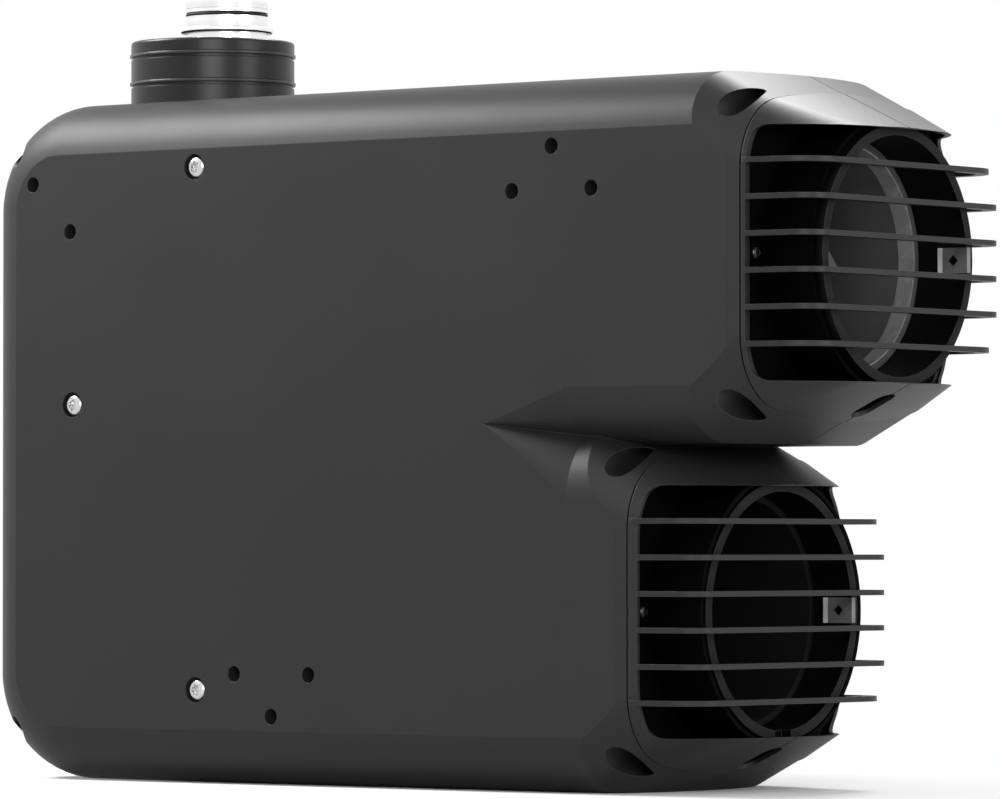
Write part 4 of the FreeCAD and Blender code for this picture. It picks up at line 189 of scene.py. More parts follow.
# The two louvred grilles: hood, frame and six wrap-round fins moulded in one piece.
# Same plastic as the casing from a smoother tool, and each pulls off the tube along its length.
louvre_plastic = moulded_plastic("louvre_plastic", CASING_GREY, roughness=0.44, grain=0.0008, depth=0.00003,
                                 shine=CASING_SHINE, edge=EDGE_RADIUS, edge_highlight_colour=EDGE_HIGHLIGHT_GREY)
finish_node(louvre_plastic, "intake_grille", "outlet_grille")


# The plates behind the grilles, each with its tube and the tongue that the grille snaps over.
# Black glass-filled nylon, dull and dark, screwed to pads in the side walls; darker than the nylon itself, as
# painted shade in the recesses behind the grilles.
# Near black with almost no shine: painted shade.
PORT_SHADE_BLACK = (0.0010, 0.0010, 0.0011, 1.0)
port_plastic = moulded_plastic("port_plastic", PORT_SHADE_BLACK, roughness=0.62, grain=0.0009, depth=0.00004,
                               shine=0.03)
finish_node(port_plastic, "intake_port", "outlet_port")


# The screws of the port plates: pan heads with a six-lobe recess and a thread cut for plastic.
# Cold-headed steel, thread rolled, black zinc, turned in with a driver so each stops as it will.
ZINC_GREY = (0.62, 0.63, 0.65, 1.0)
AROUND = 48
LOBES = 6
LOBE_DEPTH = 0.13
RECESS_DRAFT = 0.92
CHAMFER_DROP = 0.0002
CHAMFER_REACH = 0.00012
RIM_REACH = 0.0003
HEAD_BREAK = 0.0001
DOME_STOPS = (0.70, 0.85, 0.94, 0.985, 1.0)
DOME_FALL = 0.483
THREAD_STEPS = 6
THREAD_DEPTH = 0.22
POINT_LENGTH = 3.0
POINT_BLUNT = 0.25
CASING_MIDDLE = 251.25
UPPER_END = 484.2
LOWER_END = 417.8
UPPER_AXIS = 0.2569
LOWER_AXIS = 0.0875
PLATE_SETBACK = 0.5
PLATE_SCREW_SIDE = 0.0715


def plated_steel(name, colour, roughness, patch, scratch):
    """Plated steel: cloudy patches in the plating and hairline marks from tumbling."""
    material, tree, surface = new_material(name, metallic=1.0)
    place = object_place(tree)
    cloud = noise(tree, place, patch, detail=3.0)
    marks = raise_surface(tree, noise(tree, place, scratch, detail=4.0), depth=0.00002, strength=0.4)
    dress(tree, surface, mottled(tree, cloud, colour, dark=0.86, pale=1.05),
          uneven(tree, cloud, roughness, swing=0.06), marks)
    return material


def lobed(radius, turn):
    """The outline of a six-lobe recess."""
    return radius * (1.0 + LOBE_DEPTH * math.cos(LOBES * turn)) / (1.0 + LOBE_DEPTH)


def screw_blank(name, head_radius, head_height, recess_radius, recess_depth,
                shank_radius, shank_length, pitch):
    """One screw, head up, its seat at height 0: recess, domed head, rolled thread and point."""
    rings = []
    turns = [2.0 * math.pi * step / AROUND for step in range(AROUND)]

    def ring(height, outline):
        rings.append([(outline(turn) * math.cos(turn), outline(turn) * math.sin(turn), height)
                      for turn in turns])

    floor = head_height - recess_depth
    ring(floor, lambda turn: lobed(recess_radius * RECESS_DRAFT, turn))
    ring(head_height - CHAMFER_DROP, lambda turn: lobed(recess_radius, turn))
    ring(head_height, lambda turn: lobed(recess_radius + CHAMFER_REACH, turn))
    ring(head_height, lambda turn: recess_radius + RIM_REACH)
    for share in DOME_STOPS:
        ring(head_height * (1.0 - DOME_FALL * share ** 6), lambda turn: head_radius * share)
    ring(HEAD_BREAK, lambda turn: head_radius)
    ring(0.0, lambda turn: head_radius - HEAD_BREAK)
    ring(0.0, lambda turn: shank_radius)
    steps = int(shank_length / pitch * THREAD_STEPS)
    for step in range(1, steps + 1):
        down = -shank_length * step / steps
        taper = min(1.0, (shank_length + down) / (POINT_LENGTH * shank_radius) + POINT_BLUNT)

        def threaded(turn):
            wave = (down / pitch - turn / (2.0 * math.pi)) % 1.0
            return shank_radius * taper * (1.0 - THREAD_DEPTH * min(wave, 1.0 - wave) * 2.0)

        ring(down, threaded)

    verts = [point for points in rings for point in points]
    faces = []
    for level in range(len(rings) - 1):
        for step in range(AROUND):
            after = (step + 1) % AROUND
            faces.append((level * AROUND + step, (level + 1) * AROUND + step,
                          (level + 1) * AROUND + after, level * AROUND + after))
    verts += [(0.0, 0.0, floor), (0.0, 0.0, -shank_length)]
    top, tip = len(verts) - 2, len(verts) - 1
    last = (len(rings) - 1) * AROUND
    for step in range(AROUND):
        after = (step + 1) % AROUND
        faces.append((top, step, after))
        faces.append((tip, last + after, last + step))
    mesh = bpy.data.meshes.new(name)
    mesh.from_pydata(verts, [], faces)
    mesh.update()
    return bpy.data.objects.new(name, mesh)


def new_tree(name, sizes):
    """An empty tree that stands something on points, with the named sizes as its inputs."""
    tree = bpy.data.node_groups.new(name, "GeometryNodeTree")
    tree.interface.new_socket("Places", in_out="INPUT", socket_type="NodeSocketGeometry")
    sockets = {}
    for label, kind in sizes.items():
        sockets[label] = tree.interface.new_socket(label, in_out="INPUT", socket_type=kind).identifier
    tree.interface.new_socket("Made", in_out="OUTPUT", socket_type="NodeSocketGeometry")
    return tree, sockets


def make_real(tree, instances, material):
    """Ends a tree: its instances become one mesh in one material."""
    solid = tree.nodes.new("GeometryNodeRealizeInstances")
    coat = tree.nodes.new("GeometryNodeSetMaterial")
    coat.inputs["Material"].default_value = material
    result = tree.nodes.new("NodeGroupOutput")
    tree.links.new(instances, solid.inputs["Geometry"])
    tree.links.new(solid.outputs["Geometry"], coat.inputs["Geometry"])
    tree.links.new(coat.outputs["Geometry"], result.inputs["Made"])


def screw_tree(material):
    """Stands a screw on every point, turned to face one way and each stopped at its own angle."""
    tree, sockets = new_tree("screws", {"Screw": "NodeSocketObject", "Facing": "NodeSocketVector",
                                        "Size": "NodeSocketFloat", "Turn Seed": "NodeSocketInt"})
    given = tree.nodes.new("NodeGroupInput")
    blank = tree.nodes.new("GeometryNodeObjectInfo")
    stand = tree.nodes.new("GeometryNodeInstanceOnPoints")
    aim = tree.nodes.new("FunctionNodeAlignRotationToVector")
    aim.axis = "Z"
    chance = tree.nodes.new("FunctionNodeRandomValue")
    chance.data_type = "FLOAT"
    chance.inputs[3].default_value = 2.0 * math.pi
    about = tree.nodes.new("ShaderNodeCombineXYZ")
    spin = tree.nodes.new("GeometryNodeRotateInstances")
    links = tree.links
    links.new(given.outputs["Places"], stand.inputs["Points"])
    links.new(given.outputs["Screw"], blank.inputs["Object"])
    links.new(blank.outputs["Geometry"], stand.inputs["Instance"])
    links.new(given.outputs["Facing"], aim.inputs["Vector"])
    links.new(aim.outputs["Rotation"], stand.inputs["Rotation"])
    links.new(given.outputs["Size"], stand.inputs["Scale"])
    links.new(given.outputs["Turn Seed"], chance.inputs["Seed"])
    links.new(chance.outputs[1], about.inputs["Z"])
    links.new(stand.outputs["Instances"], spin.inputs["Instances"])
    links.new(about.outputs["Vector"], spin.inputs["Rotation"])
    make_real(tree, spin.outputs["Instances"], material)
    return tree, sockets


def stand_on(name, places, tree, sockets, sizes):
    """What a tree makes on some places, as one plain mesh of its own."""
    points = bpy.data.meshes.new(name + "_places")
    points.from_pydata(places, [], [])
    holder = bpy.data.objects.new(name, points)
    bpy.context.scene.collection.objects.link(holder)
    fitting = holder.modifiers.new("fitting", "NODES")
    fitting.node_group = tree
    for label, size in sizes.items():
        fitting[sockets[label]] = size
    view = bpy.context.evaluated_depsgraph_get()
    view.update()
    made = bpy.data.meshes.new_from_object(holder.evaluated_get(view))
    made.shade_smooth()
    holder.modifiers.clear()
    holder.data = made
    return holder


def fit_screws(name, blank, places, facing, material, seed, node):
    """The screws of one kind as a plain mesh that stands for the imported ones."""
    tree, sockets = screw_tree(material)
    screws = stand_on(name, places, tree, sockets,
                      {"Screw": blank, "Facing": facing, "Size": 1.0, "Turn Seed": seed})
    screws.data.set_sharp_from_angle(angle=math.radians(32.0))
    bpy.data.objects.remove(blank)
    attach(screws, "casing")
    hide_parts(node)


def casing_x(along):
    """A length along the casing from its left end, in millimetres, as a place in the frame."""
    return (along - CASING_MIDDLE) / 1000.0


black_zinc = plated_steel("black_zinc", shaded(ZINC_GREY, 0.12), roughness=0.40, patch=0.004, scratch=0.0004)
port_blank = screw_blank("port_blank", head_radius=0.0030, head_height=0.0022, recess_radius=0.0016,
                         recess_depth=0.0012, shank_radius=0.0014, shank_length=0.0110, pitch=0.0009)
port_places = [(casing_x(end - PLATE_SETBACK), side * PLATE_SCREW_SIDE, height)
               for end, height in ((UPPER_END, UPPER_AXIS), (LOWER_END, LOWER_AXIS)) for side in (-1, 1)]
fit_screws("port_plate_screws", port_blank, port_places, facing=(1, 0, 0), material=black_zinc,
           seed=3, node="port_screws")


# The duct collars: a short round tube in each opening for the air duct to push over.
# Black polypropylene, turned-looking inside from the tool's core, fixed on the port tube.
COLLAR_BLACK = (0.0028, 0.0028, 0.0029, 1.0)
WAVE_RATE = 20.0


def rings_along(tree, place, axis, spacing, wobble, detail=2.0, detail_scale=1.0):
    """Slightly uneven rings across an axis: the spacing is one radian of their wave."""
    rings = tree.nodes.new("ShaderNodeTexWave")
    rings.wave_type = "BANDS"
    rings.bands_direction = axis
    rings.inputs["Scale"].default_value = 1.0 / (WAVE_RATE * spacing)
    rings.inputs["Distortion"].default_value = wobble
    rings.inputs["Detail"].default_value = detail
    rings.inputs["Detail Scale"].default_value = detail_scale
    tree.links.new(place, rings.inputs["Vector"])
    return rings.outputs["Fac"]


def ringed_plastic(name, colour, roughness, axis, spacing, depth, shine, edge, edge_highlight_colour):
    """Plastic off a turned tool: faint rings across the given axis over a fine grain, and a painted highlight
    on the edges.
    """
    material, tree, surface = new_material(name)
    surface.inputs["Specular IOR Level"].default_value = shine
    place = object_place(tree)
    flow = noise(tree, place, size=0.05, detail=3.0)
    highlight_mask, rounded = edge_highlight_and_normal(tree, edge)
    # The edges take a paler colour as a painted highlight.
    skin = blend_colours(tree, highlight_mask, mottled(tree, flow, colour, dark=0.88, pale=1.1), edge_highlight_colour)
    rings = rings_along(tree, place, axis, spacing, wobble=0.6, detail=1.0)
    turned = raise_surface(tree, rings, depth, strength=0.35, start=rounded)
    grained = raise_surface(tree, noise(tree, place, size=0.0007), depth=0.00003, strength=0.4, start=turned)
    dress(tree, surface, skin, uneven(tree, flow, roughness, swing=0.04), grained)
    return material


# Their edges are painted paler as a highlight.
collar_plastic = ringed_plastic("collar_plastic", COLLAR_BLACK, roughness=0.45, axis="X", spacing=0.0012,
                                depth=0.00004, shine=0.12, edge=0.0005, edge_highlight_colour=EDGE_HIGHLIGHT_GREY)
finish_node(collar_plastic, "intake_collar", "outlet_collar")


# The clips that lock a duct on its collar: a bent tab with a hole through it.
# Spring strip of zinc-plated steel, blanked and bent, so the mill's rolling lines run across it.
CLIP_STEEL = (0.24, 0.24, 0.245, 1.0)


def rolled_strip(name, colour, roughness, along, depth, metallic=1.0):
    """Cold-rolled metal: long fine lines one way, and slightly uneven shine."""
    material, tree, surface = new_material(name, metallic)
    stretch = tree.nodes.new("ShaderNodeMapping")
    stretch.inputs["Scale"].default_value = along
    tree.links.new(object_place(tree), stretch.inputs["Vector"])
    lines = noise(tree, stretch.outputs["Vector"], size=0.0005, detail=3.0)
    dress(tree, surface, mottled(tree, lines, colour, dark=0.84, pale=1.08),
          uneven(tree, lines, roughness, swing=0.07), raise_surface(tree, lines, depth, strength=0.4))
    return material


clip_strip = rolled_strip("clip_strip", CLIP_STEEL, roughness=0.42, along=(0.04, 1.0, 1.0), depth=0.00002,
                          metallic=0.4)
finish_node(clip_strip, "intake_clip", "outlet_clip")


# The circulation fan's housing: inlet nozzle, straight bore and five vanes that hold the motor cup.
# Dark grey filled polypropylene in one moulding, matt in the bore where the vanes were ejected.
HOUSING_GREY = (0.090, 0.090, 0.091, 1.0)
# Its edges are painted a paler grey as a highlight.
housing_plastic = ringed_plastic("housing_plastic", HOUSING_GREY, roughness=0.50, axis="X", spacing=0.0016,
                                 depth=0.00005, shine=0.35, edge=0.0005, edge_highlight_colour=shaded(HOUSING_GREY, 1.8))
finish_node(housing_plastic, "circulation_housing")


# The bright band in the fan's inlet: a rolled ring that stiffens the nozzle against the wheel's tips.
# Galvanised strip, spot-welded into a hoop and pressed in, dull grey with a faint spangle.
BAND_GREY = (0.34, 0.34, 0.343, 1.0)


def galvanised(name, colour, roughness, spangle, metallic=0.75):
    """Hot-dipped sheet: grey crystals of slightly different shade and shine."""
    material, tree, surface = new_material(name, metallic)
    place = object_place(tree)
    crystals = tree.nodes.new("ShaderNodeTexVoronoi")
    crystals.inputs["Scale"].default_value = 1.0 / spangle
    tree.links.new(place, crystals.inputs["Vector"])
    shade = tree.nodes.new("ShaderNodeSeparateColor")
    tree.links.new(crystals.outputs["Color"], shade.inputs["Color"])
    skin = blend_colours(tree, shade.outputs["Red"], shaded(colour, 0.85), shaded(colour, 1.1))
    shine = between(tree, shade.outputs["Green"], roughness - 0.07, roughness + 0.07, start=0.0, stop=1.0)
    relief = raise_surface(tree, noise(tree, place, size=0.0006), depth=0.00002, strength=0.4)
    dress(tree, surface, skin, shine, relief)
    return material


band_metal = galvanised("band_metal", BAND_GREY, roughness=0.55, spangle=0.004, metallic=0.3)
finish_node(band_metal, "nozzle_ring")


# The circulation wheel: thirteen blades round a hub, behind the nozzle.
# Grey glass-filled nylon, moulded in one piece, with a satin skin and soft flow swirls.
WHEEL_GREY = (0.250, 0.250, 0.252, 1.0)
# Its edges are painted a paler grey as a highlight.
wheel_plastic = moulded_plastic("wheel_plastic", WHEEL_GREY, roughness=0.42, grain=0.0009, depth=0.00003,
                                edge=0.0004, edge_highlight_colour=shaded(WHEEL_GREY, 2.2))
finish_node(wheel_plastic, "circulation_impeller")


# The motors of the two fans: drawn cans, each with its two bearings and a ground shaft.
# Zinc-passivated deep-drawn steel for the cans, chrome steel for bearings and shafts.
CAN_STEEL = (0.45, 0.45, 0.46, 1.0)
SHAFT_STEEL = (0.58, 0.58, 0.59, 1.0)
can_steel = rolled_strip("can_steel", CAN_STEEL, roughness=0.34, along=(0.05, 1.0, 1.0), depth=0.00002)
finish_node(can_steel, "circulation_motor", "blower_motor")
ground_steel = rolled_strip("ground_steel", SHAFT_STEEL, roughness=0.18, along=(1.0, 0.05, 0.05), depth=0.00001)
finish_node(ground_steel, "circulation_shaft", "circulation_bearings", "blower_shaft",
            "blower_bearings")


# The duct that leads from the heat exchanger to the lower collar, and the air sensor in it.
# Mineral-filled black nylon that stands the heat, and a bead of epoxy on a stalk for the sensor.
DUCT_BLACK = (0.006, 0.006, 0.0062, 1.0)
# A paler colour for the duct's edges: a painted highlight.
DUCT_EDGE_HIGHLIGHT = (0.012, 0.012, 0.012, 1.0)
RESIN_BLUE = (0.012, 0.016, 0.03, 1.0)
duct_plastic = ringed_plastic("duct_plastic", DUCT_BLACK, roughness=0.58, axis="X", spacing=0.0020,
                              depth=0.00005, shine=0.2, edge=0.0005, edge_highlight_colour=DUCT_EDGE_HIGHLIGHT)
finish_node(duct_plastic, "outlet_duct")
sensor_resin = moulded_plastic("sensor_resin", RESIN_BLUE, roughness=0.25, grain=0.0010, depth=0.00002)
finish_node(sensor_resin, "air_sensor")


# The combustion-air collar on top: a wide black tube with two grooves for the lip rings.
# Black heat-resistant nylon with a smooth satin skin, clamped in the casing's roof.
FLUE_BLACK = (0.007, 0.007, 0.0072, 1.0)
# Its edges are painted paler as a highlight.
flue_plastic = ringed_plastic("flue_plastic", FLUE_BLACK, roughness=0.34, axis="Z", spacing=0.0014,
                              depth=0.00002, shine=0.3, edge=0.0008, edge_highlight_colour=shaded(FLUE_BLACK, 3.0))
finish_node(flue_plastic, "combustion_air_collar")


# The rubber pieces of the flue and of the left wall: lip rings, exhaust ring and two grommets.
# Moulded silicone and EPDM, matt, with a slight bloom on the surface.
RUBBER_BLACK = (0.006, 0.006, 0.006, 1.0)
LIP_GREY = (0.030, 0.030, 0.030, 1.0)


def rubber(name, colour, roughness, edge):
    """Moulded rubber: matt, rounded edges, a soft bloom in patches, and a fine orange-peel skin."""
    material, tree, surface = new_material(name)
    surface.inputs["Specular IOR Level"].default_value = 0.35
    place = object_place(tree)
    bloom = noise(tree, place, size=0.012, detail=4.0)
    rounded = edge_highlight_and_normal(tree, edge)[1]
    relief = raise_surface(tree, noise(tree, place, size=0.0005), depth=0.00003, strength=0.5, start=rounded)
    dress(tree, surface, mottled(tree, bloom, colour, dark=1.0, pale=1.5),
          uneven(tree, bloom, roughness, swing=0.06), relief)
    return material


seal_rubber = rubber("seal_rubber", RUBBER_BLACK, roughness=0.60, edge=0.0004)
finish_node(seal_rubber, "exhaust_seal", "gas_grommet", "cable_grommet")
lip_rubber = rubber("lip_rubber", LIP_GREY, roughness=0.32, edge=0.0012)
finish_node(lip_rubber, "collar_seals")


# The exhaust stub that stands inside the air collar: a thin tube with a rolled bead.
# Stainless steel, spun and polished, so fine lines run round it and it mirrors the bright room.
STUB_STEEL = (0.90, 0.90, 0.905, 1.0)
STUB_SHADE = (0.05, 0.05, 0.05, 1.0)
SHADE_REACH = 0.0016


def spun_steel(name, colour, roughness, spacing):
    """Spun tube: fine lines round the axis, and painted shade in its grooves and crevices."""
    material, tree, surface = new_material(name, metallic=1.0)
    lines = rings_along(tree, object_place(tree), "Z", spacing, wobble=1.2, detail=3.0, detail_scale=2.0)
    # An occlusion mask that paints shade into the crevices, darkening them towards near black.
    crevice_shade = tree.nodes.new("ShaderNodeAmbientOcclusion")
    crevice_shade.samples = 8
    crevice_shade.inputs["Distance"].default_value = SHADE_REACH
    unshaded = between(tree, crevice_shade.outputs["AO"], low=0.0, high=1.0, start=0.15, stop=0.62)
    skin = blend_colours(tree, unshaded, STUB_SHADE, blend_colours(tree, lines, shaded(colour, 0.95), colour))
    dress(tree, surface, skin, between(tree, lines, roughness - 0.03, roughness + 0.05, start=0.0, stop=1.0),
          raise_surface(tree, lines, depth=0.00001, strength=0.3))
    return material


stub_steel = spun_steel("stub_steel", STUB_STEEL, roughness=0.20, spacing=0.0008)
finish_node(stub_steel, "exhaust_pipe")


# The three screws on the front, sunk in round seats: they hold the steel chassis behind the wall.
# Pan heads with a deep six-lobe recess, bright chromated zinc, thread rolled in the chassis nuts.
HEAD_HEIGHT = 0.0030
SCREW_BRIGHT = (0.66, 0.66, 0.67, 1.0)
FRONT_SEAT = -0.0816
FRONT_SCREWS = ((147.1, 0.3088), (65.4, 0.1906), (148.1, 0.0470))
front_zinc = plated_steel("front_zinc", SCREW_BRIGHT, roughness=0.24, patch=0.005, scratch=0.0005)
front_blank = screw_blank("front_blank", head_radius=0.0054, head_height=HEAD_HEIGHT, recess_radius=0.0029,
                          recess_depth=0.0021, shank_radius=0.0024, shank_length=0.0150, pitch=0.0012)
front_places = [(casing_x(along), FRONT_SEAT, height) for along, height in FRONT_SCREWS]
fit_screws("front_face_screws", front_blank, front_places, facing=(0, -1, 0), material=front_zinc,
           seed=11, node="front_screws")


# The six long screws down the deep round pockets at the corners: they pull the two shells together.
# Same drive, longer shank, plain zinc that has dulled a little.
CORNER_SEAT = -0.026
CORNER_SCREWS = ((473.5, 0.3284), (473.5, 0.1854), (407.1, 0.1590), (407.1, 0.0160), (19.0, 0.3200),
                 (19.0, 0.0250))
corner_zinc = plated_steel("corner_zinc", shaded(ZINC_GREY, 0.6), roughness=0.38, patch=0.004, scratch=0.0004)
corner_blank = screw_blank("corner_blank", head_radius=0.0046, head_height=HEAD_HEIGHT, recess_radius=0.0024,
                           recess_depth=0.0018, shank_radius=0.0024, shank_length=0.0500, pitch=0.0016)
corner_places = [(casing_x(along), CORNER_SEAT, height) for along, height in CORNER_SCREWS]
fit_screws("corner_pocket_screws", corner_blank, corner_places, facing=(0, -1, 0), material=corner_zinc,
           seed=7, node="corner_screws")


# The chassis plate behind the front wall, and the bulkhead that carries blower, burner and exchanger.
# Galvanised sheet, blanked and flat, with the spangle of the dip still on it.
SHEET_GREY = (0.50, 0.51, 0.52, 1.0)
sheet_zinc = galvanised("sheet_zinc", SHEET_GREY, roughness=0.42, spangle=0.010)
finish_node(sheet_zinc, "front_chassis", "burner_bulkhead")


# The heat exchanger: a ribbed body with its flange and the socket for the exhaust stub.
# Die-cast aluminium, sand-grey and pitted, shot-blasted after casting.
CAST_GREY = (0.42, 0.42, 0.425, 1.0)


def cast_metal(name, colour, roughness, pit):
    """Blasted casting: coarse pits, patches of oxide, no direction."""
    material, tree, surface = new_material(name, metallic=0.85)
    place = object_place(tree)
    oxide = noise(tree, place, size=0.020, detail=4.0)
    pits = raise_surface(tree, noise(tree, place, pit, detail=5.0), depth=0.00015, strength=0.8)
    dress(tree, surface, mottled(tree, oxide, colour, dark=0.75, pale=1.08),
          uneven(tree, oxide, roughness, swing=0.08), pits)
    return material


cast_aluminium = cast_metal("cast_aluminium", CAST_GREY, roughness=0.52, pit=0.0012)
finish_node(cast_aluminium, "heat_exchanger")


# The seals of the fire side: the gasket under the exchanger's flange and the ring in its socket.
# Pressed graphite sheet, dark, greasy-looking and flaky.
GRAPHITE_GREY = (0.045, 0.045, 0.048, 1.0)
graphite = rubber("graphite", GRAPHITE_GREY, roughness=0.50, edge=0.0003)
finish_node(graphite, "bulkhead_gasket", "exhaust_gasket")


# The flange screws of the exchanger, six in a ring, driven from the blower side.
# Stainless pan heads with six-lobe recess, tinted straw by the heat.
STRAW_STEEL = (0.52, 0.47, 0.40, 1.0)
FLANGE_HEAD_RADIUS = 0.0042
FLANGE_SCREWS = 6
flange_steel = plated_steel("flange_steel", STRAW_STEEL, roughness=0.32, patch=0.003, scratch=0.0004)
flange_blank = screw_blank("flange_blank", head_radius=FLANGE_HEAD_RADIUS, head_height=HEAD_HEIGHT,
                           recess_radius=0.0022, recess_depth=0.0016, shank_radius=0.0024, shank_length=0.0075,
                           pitch=0.0010)
flange_low, flange_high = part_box("exchanger_screws")
flange_ring = (flange_high.z - flange_low.z) / 2.0 - FLANGE_HEAD_RADIUS
flange_turns = [2.0 * math.pi * step / FLANGE_SCREWS for step in range(FLANGE_SCREWS)]
flange_seat = flange_low.x + HEAD_HEIGHT
flange_places = [(flange_seat, flange_ring * math.sin(turn), LOWER_AXIS + flange_ring * math.cos(turn))
                 for turn in flange_turns]
fit_screws("flange_screws", flange_blank, flange_places, facing=(-1, 0, 0), material=flange_steel,
           seed=5, node="exchanger_screws")


# The fire itself: the slotted burner tube and the flame tube round it.
# Thin heat-resisting stainless sheet, rolled and seam-welded, blued and browned by the flame.
FIRE_STEEL = (0.60, 0.60, 0.61, 1.0)
TEMPER_COLOURS = ((0.15, FIRE_STEEL), (0.45, (0.50, 0.36, 0.20, 1.0)), (0.70, (0.22, 0.16, 0.25, 1.0)),
                  (1.0, (0.16, 0.20, 0.30, 1.0)))
HEAT_WANDER = 0.35


def scorched_steel(name, roughness, start, length):
    """Stainless sheet with tempering colours that follow the heat along X."""
    material, tree, surface = new_material(name, metallic=1.0)
    place = object_place(tree)
    split = tree.nodes.new("ShaderNodeSeparateXYZ")
    tree.links.new(place, split.inputs["Vector"])
    heat = between(tree, split.outputs["X"], low=0.0, high=1.0, start=start, stop=start + length)
    cloud = noise(tree, place, size=0.015, detail=3.0)
    shift = tree.nodes.new("ShaderNodeMath")
    shift.operation = "MULTIPLY_ADD"
    shift.inputs[1].default_value = HEAT_WANDER
    tree.links.new(cloud, shift.inputs[0])
    tree.links.new(heat, shift.inputs[2])
    tint = tree.nodes.new("ShaderNodeValToRGB")
    for number, (stop, shade) in enumerate(TEMPER_COLOURS):
        point = tint.color_ramp.elements[number] if number < 2 else tint.color_ramp.elements.new(stop)
        point.position = stop
        point.color = shade
    tree.links.new(shift.outputs["Value"], tint.inputs["Fac"])
    dress(tree, surface, tint.outputs["Color"], between(tree, cloud, roughness - 0.06, roughness + 0.10),
          raise_surface(tree, noise(tree, place, size=0.0008), depth=0.00003, strength=0.4))
    return material


fire_steel = scorched_steel("fire_steel", roughness=0.34, start=-0.18, length=0.20)
finish_node(fire_steel, "burner_tube", "flame_tube")


# The two electrodes that light and watch the flame.
# Glazed alumina rods on heat-resisting wire, pushed through bosses in the bulkhead's side.
ALUMINA_WHITE = (0.78, 0.76, 0.70, 1.0)


def glazed_ceramic(name, colour):
    """Fired ceramic: warm white, faintly speckled, under a thin glaze."""
    material, tree, surface = new_material(name)
    surface.inputs["Coat Weight"].default_value = 0.6
    surface.inputs["Coat Roughness"].default_value = 0.08
    speckle = noise(tree, object_place(tree), size=0.0015, detail=4.0)
    share = between(tree, speckle, low=0.0, high=1.0, start=0.35, stop=0.7)
    dress(tree, surface, blend_colours(tree, share, colour, shaded(colour, 0.82)),
          between(tree, speckle, low=0.22, high=0.34),
          raise_surface(tree, speckle, depth=0.00002, strength=0.3))
    return material


electrode_ceramic = glazed_ceramic("electrode_ceramic", ALUMINA_WHITE)
finish_node(electrode_ceramic, "ignition_electrode", "flame_electrode")


# The overheat thermostat on the exchanger's end: a snap disc under a cap with two tabs.
# Brown ceramic base with a plated cup, screwed flat so that it feels the metal.
CERAMIC_BROWN = (0.035, 0.018, 0.011, 1.0)
brown_ceramic = moulded_plastic("brown_ceramic", CERAMIC_BROWN, roughness=0.35, grain=0.0012, depth=0.00003)
finish_node(brown_ceramic, "overheat_thermostat")


# The combustion blower: snail housing, cover with its spoked eye, and the wheel.
# Die-cast aluminium under a black coat for the housing and cover, off-white acetal for the wheel.
BLOWER_BLACK = (0.012, 0.012, 0.0125, 1.0)
ACETAL_WHITE = (0.48, 0.47, 0.43, 1.0)
blower_coat = moulded_plastic("blower_coat", BLOWER_BLACK, roughness=0.48, grain=0.0008, depth=0.00004)
finish_node(blower_coat, "blower_housing", "blower_cover")
acetal = moulded_plastic("acetal", ACETAL_WHITE, roughness=0.35, grain=0.0010, depth=0.00002)
finish_node(acetal, "blower_impeller")


# The air path to the blower: the plenum under the flue collar and the flat duct down from it.
# Blow-moulded black polypropylene, so the walls are slightly wavy.
BLOWN_BLACK = (0.011, 0.011, 0.0113, 1.0)
blown_plastic = moulded_plastic("blown_plastic", BLOWN_BLACK, roughness=0.52, grain=0.0040, depth=0.00012)
finish_node(blown_plastic, "air_plenum", "air_duct")


# The gas line: inlet pipe with its nut, the feed pipe to the jet, and the jet.
# Zinc-chromated drawn steel tube for the pipes, free-cutting brass for the jet.
PIPE_ZINC = (0.55, 0.53, 0.44, 1.0)
BRASS = (0.72, 0.50, 0.19, 1.0)
pipe_steel = rolled_strip("pipe_steel", PIPE_ZINC, roughness=0.30, along=(0.04, 1.0, 1.0), depth=0.00002)
finish_node(pipe_steel, "gas_inlet_pipe", "gas_feed_pipe")
jet_brass = rolled_strip("jet_brass", BRASS, roughness=0.24, along=(1.0, 0.05, 1.0), depth=0.00002)
finish_node(jet_brass, "gas_nozzle")


# The gas valve: one block with a core tube for each plunger.
# Die-cast aluminium block with machined core tubes, plungers of magnetic plated steel.
VALVE_GREY = (0.50, 0.50, 0.51, 1.0)
PLUNGER_STEEL = (0.60, 0.60, 0.61, 1.0)
valve_metal = cast_metal("valve_metal", VALVE_GREY, roughness=0.42, pit=0.0009)
finish_node(valve_metal, "gas_valve")
plunger_steel = rolled_strip("plunger_steel", PLUNGER_STEEL, roughness=0.26, along=(1.0, 1.0, 0.05),
                             depth=0.00002)
finish_node(plunger_steel, "safety_plunger", "main_plunger")


# The two coils that lift the valve's plungers.
# Enamelled copper wound layer on layer under a clear tape, slipped over the core tubes.
COPPER = (0.55, 0.22, 0.09, 1.0)


def wound_copper(name, colour, spacing):
    """Layer winding: turns one above the other up the coil, under varnish."""
    material, tree, surface = new_material(name, metallic=0.8)
    surface.inputs["Coat Weight"].default_value = 0.5
    surface.inputs["Coat Roughness"].default_value = 0.15
    turns = rings_along(tree, object_place(tree), "Z", spacing, wobble=0.4)
    dress(tree, surface, blend_colours(tree, turns, shaded(colour, 0.3), colour),
          between(tree, turns, low=0.45, high=0.25, start=0.0, stop=1.0),
          raise_surface(tree, turns, depth=0.00008, strength=0.8))
    return material


coil_copper = wound_copper("coil_copper", COPPER, spacing=0.0005)
finish_node(coil_copper, "valve_coils")


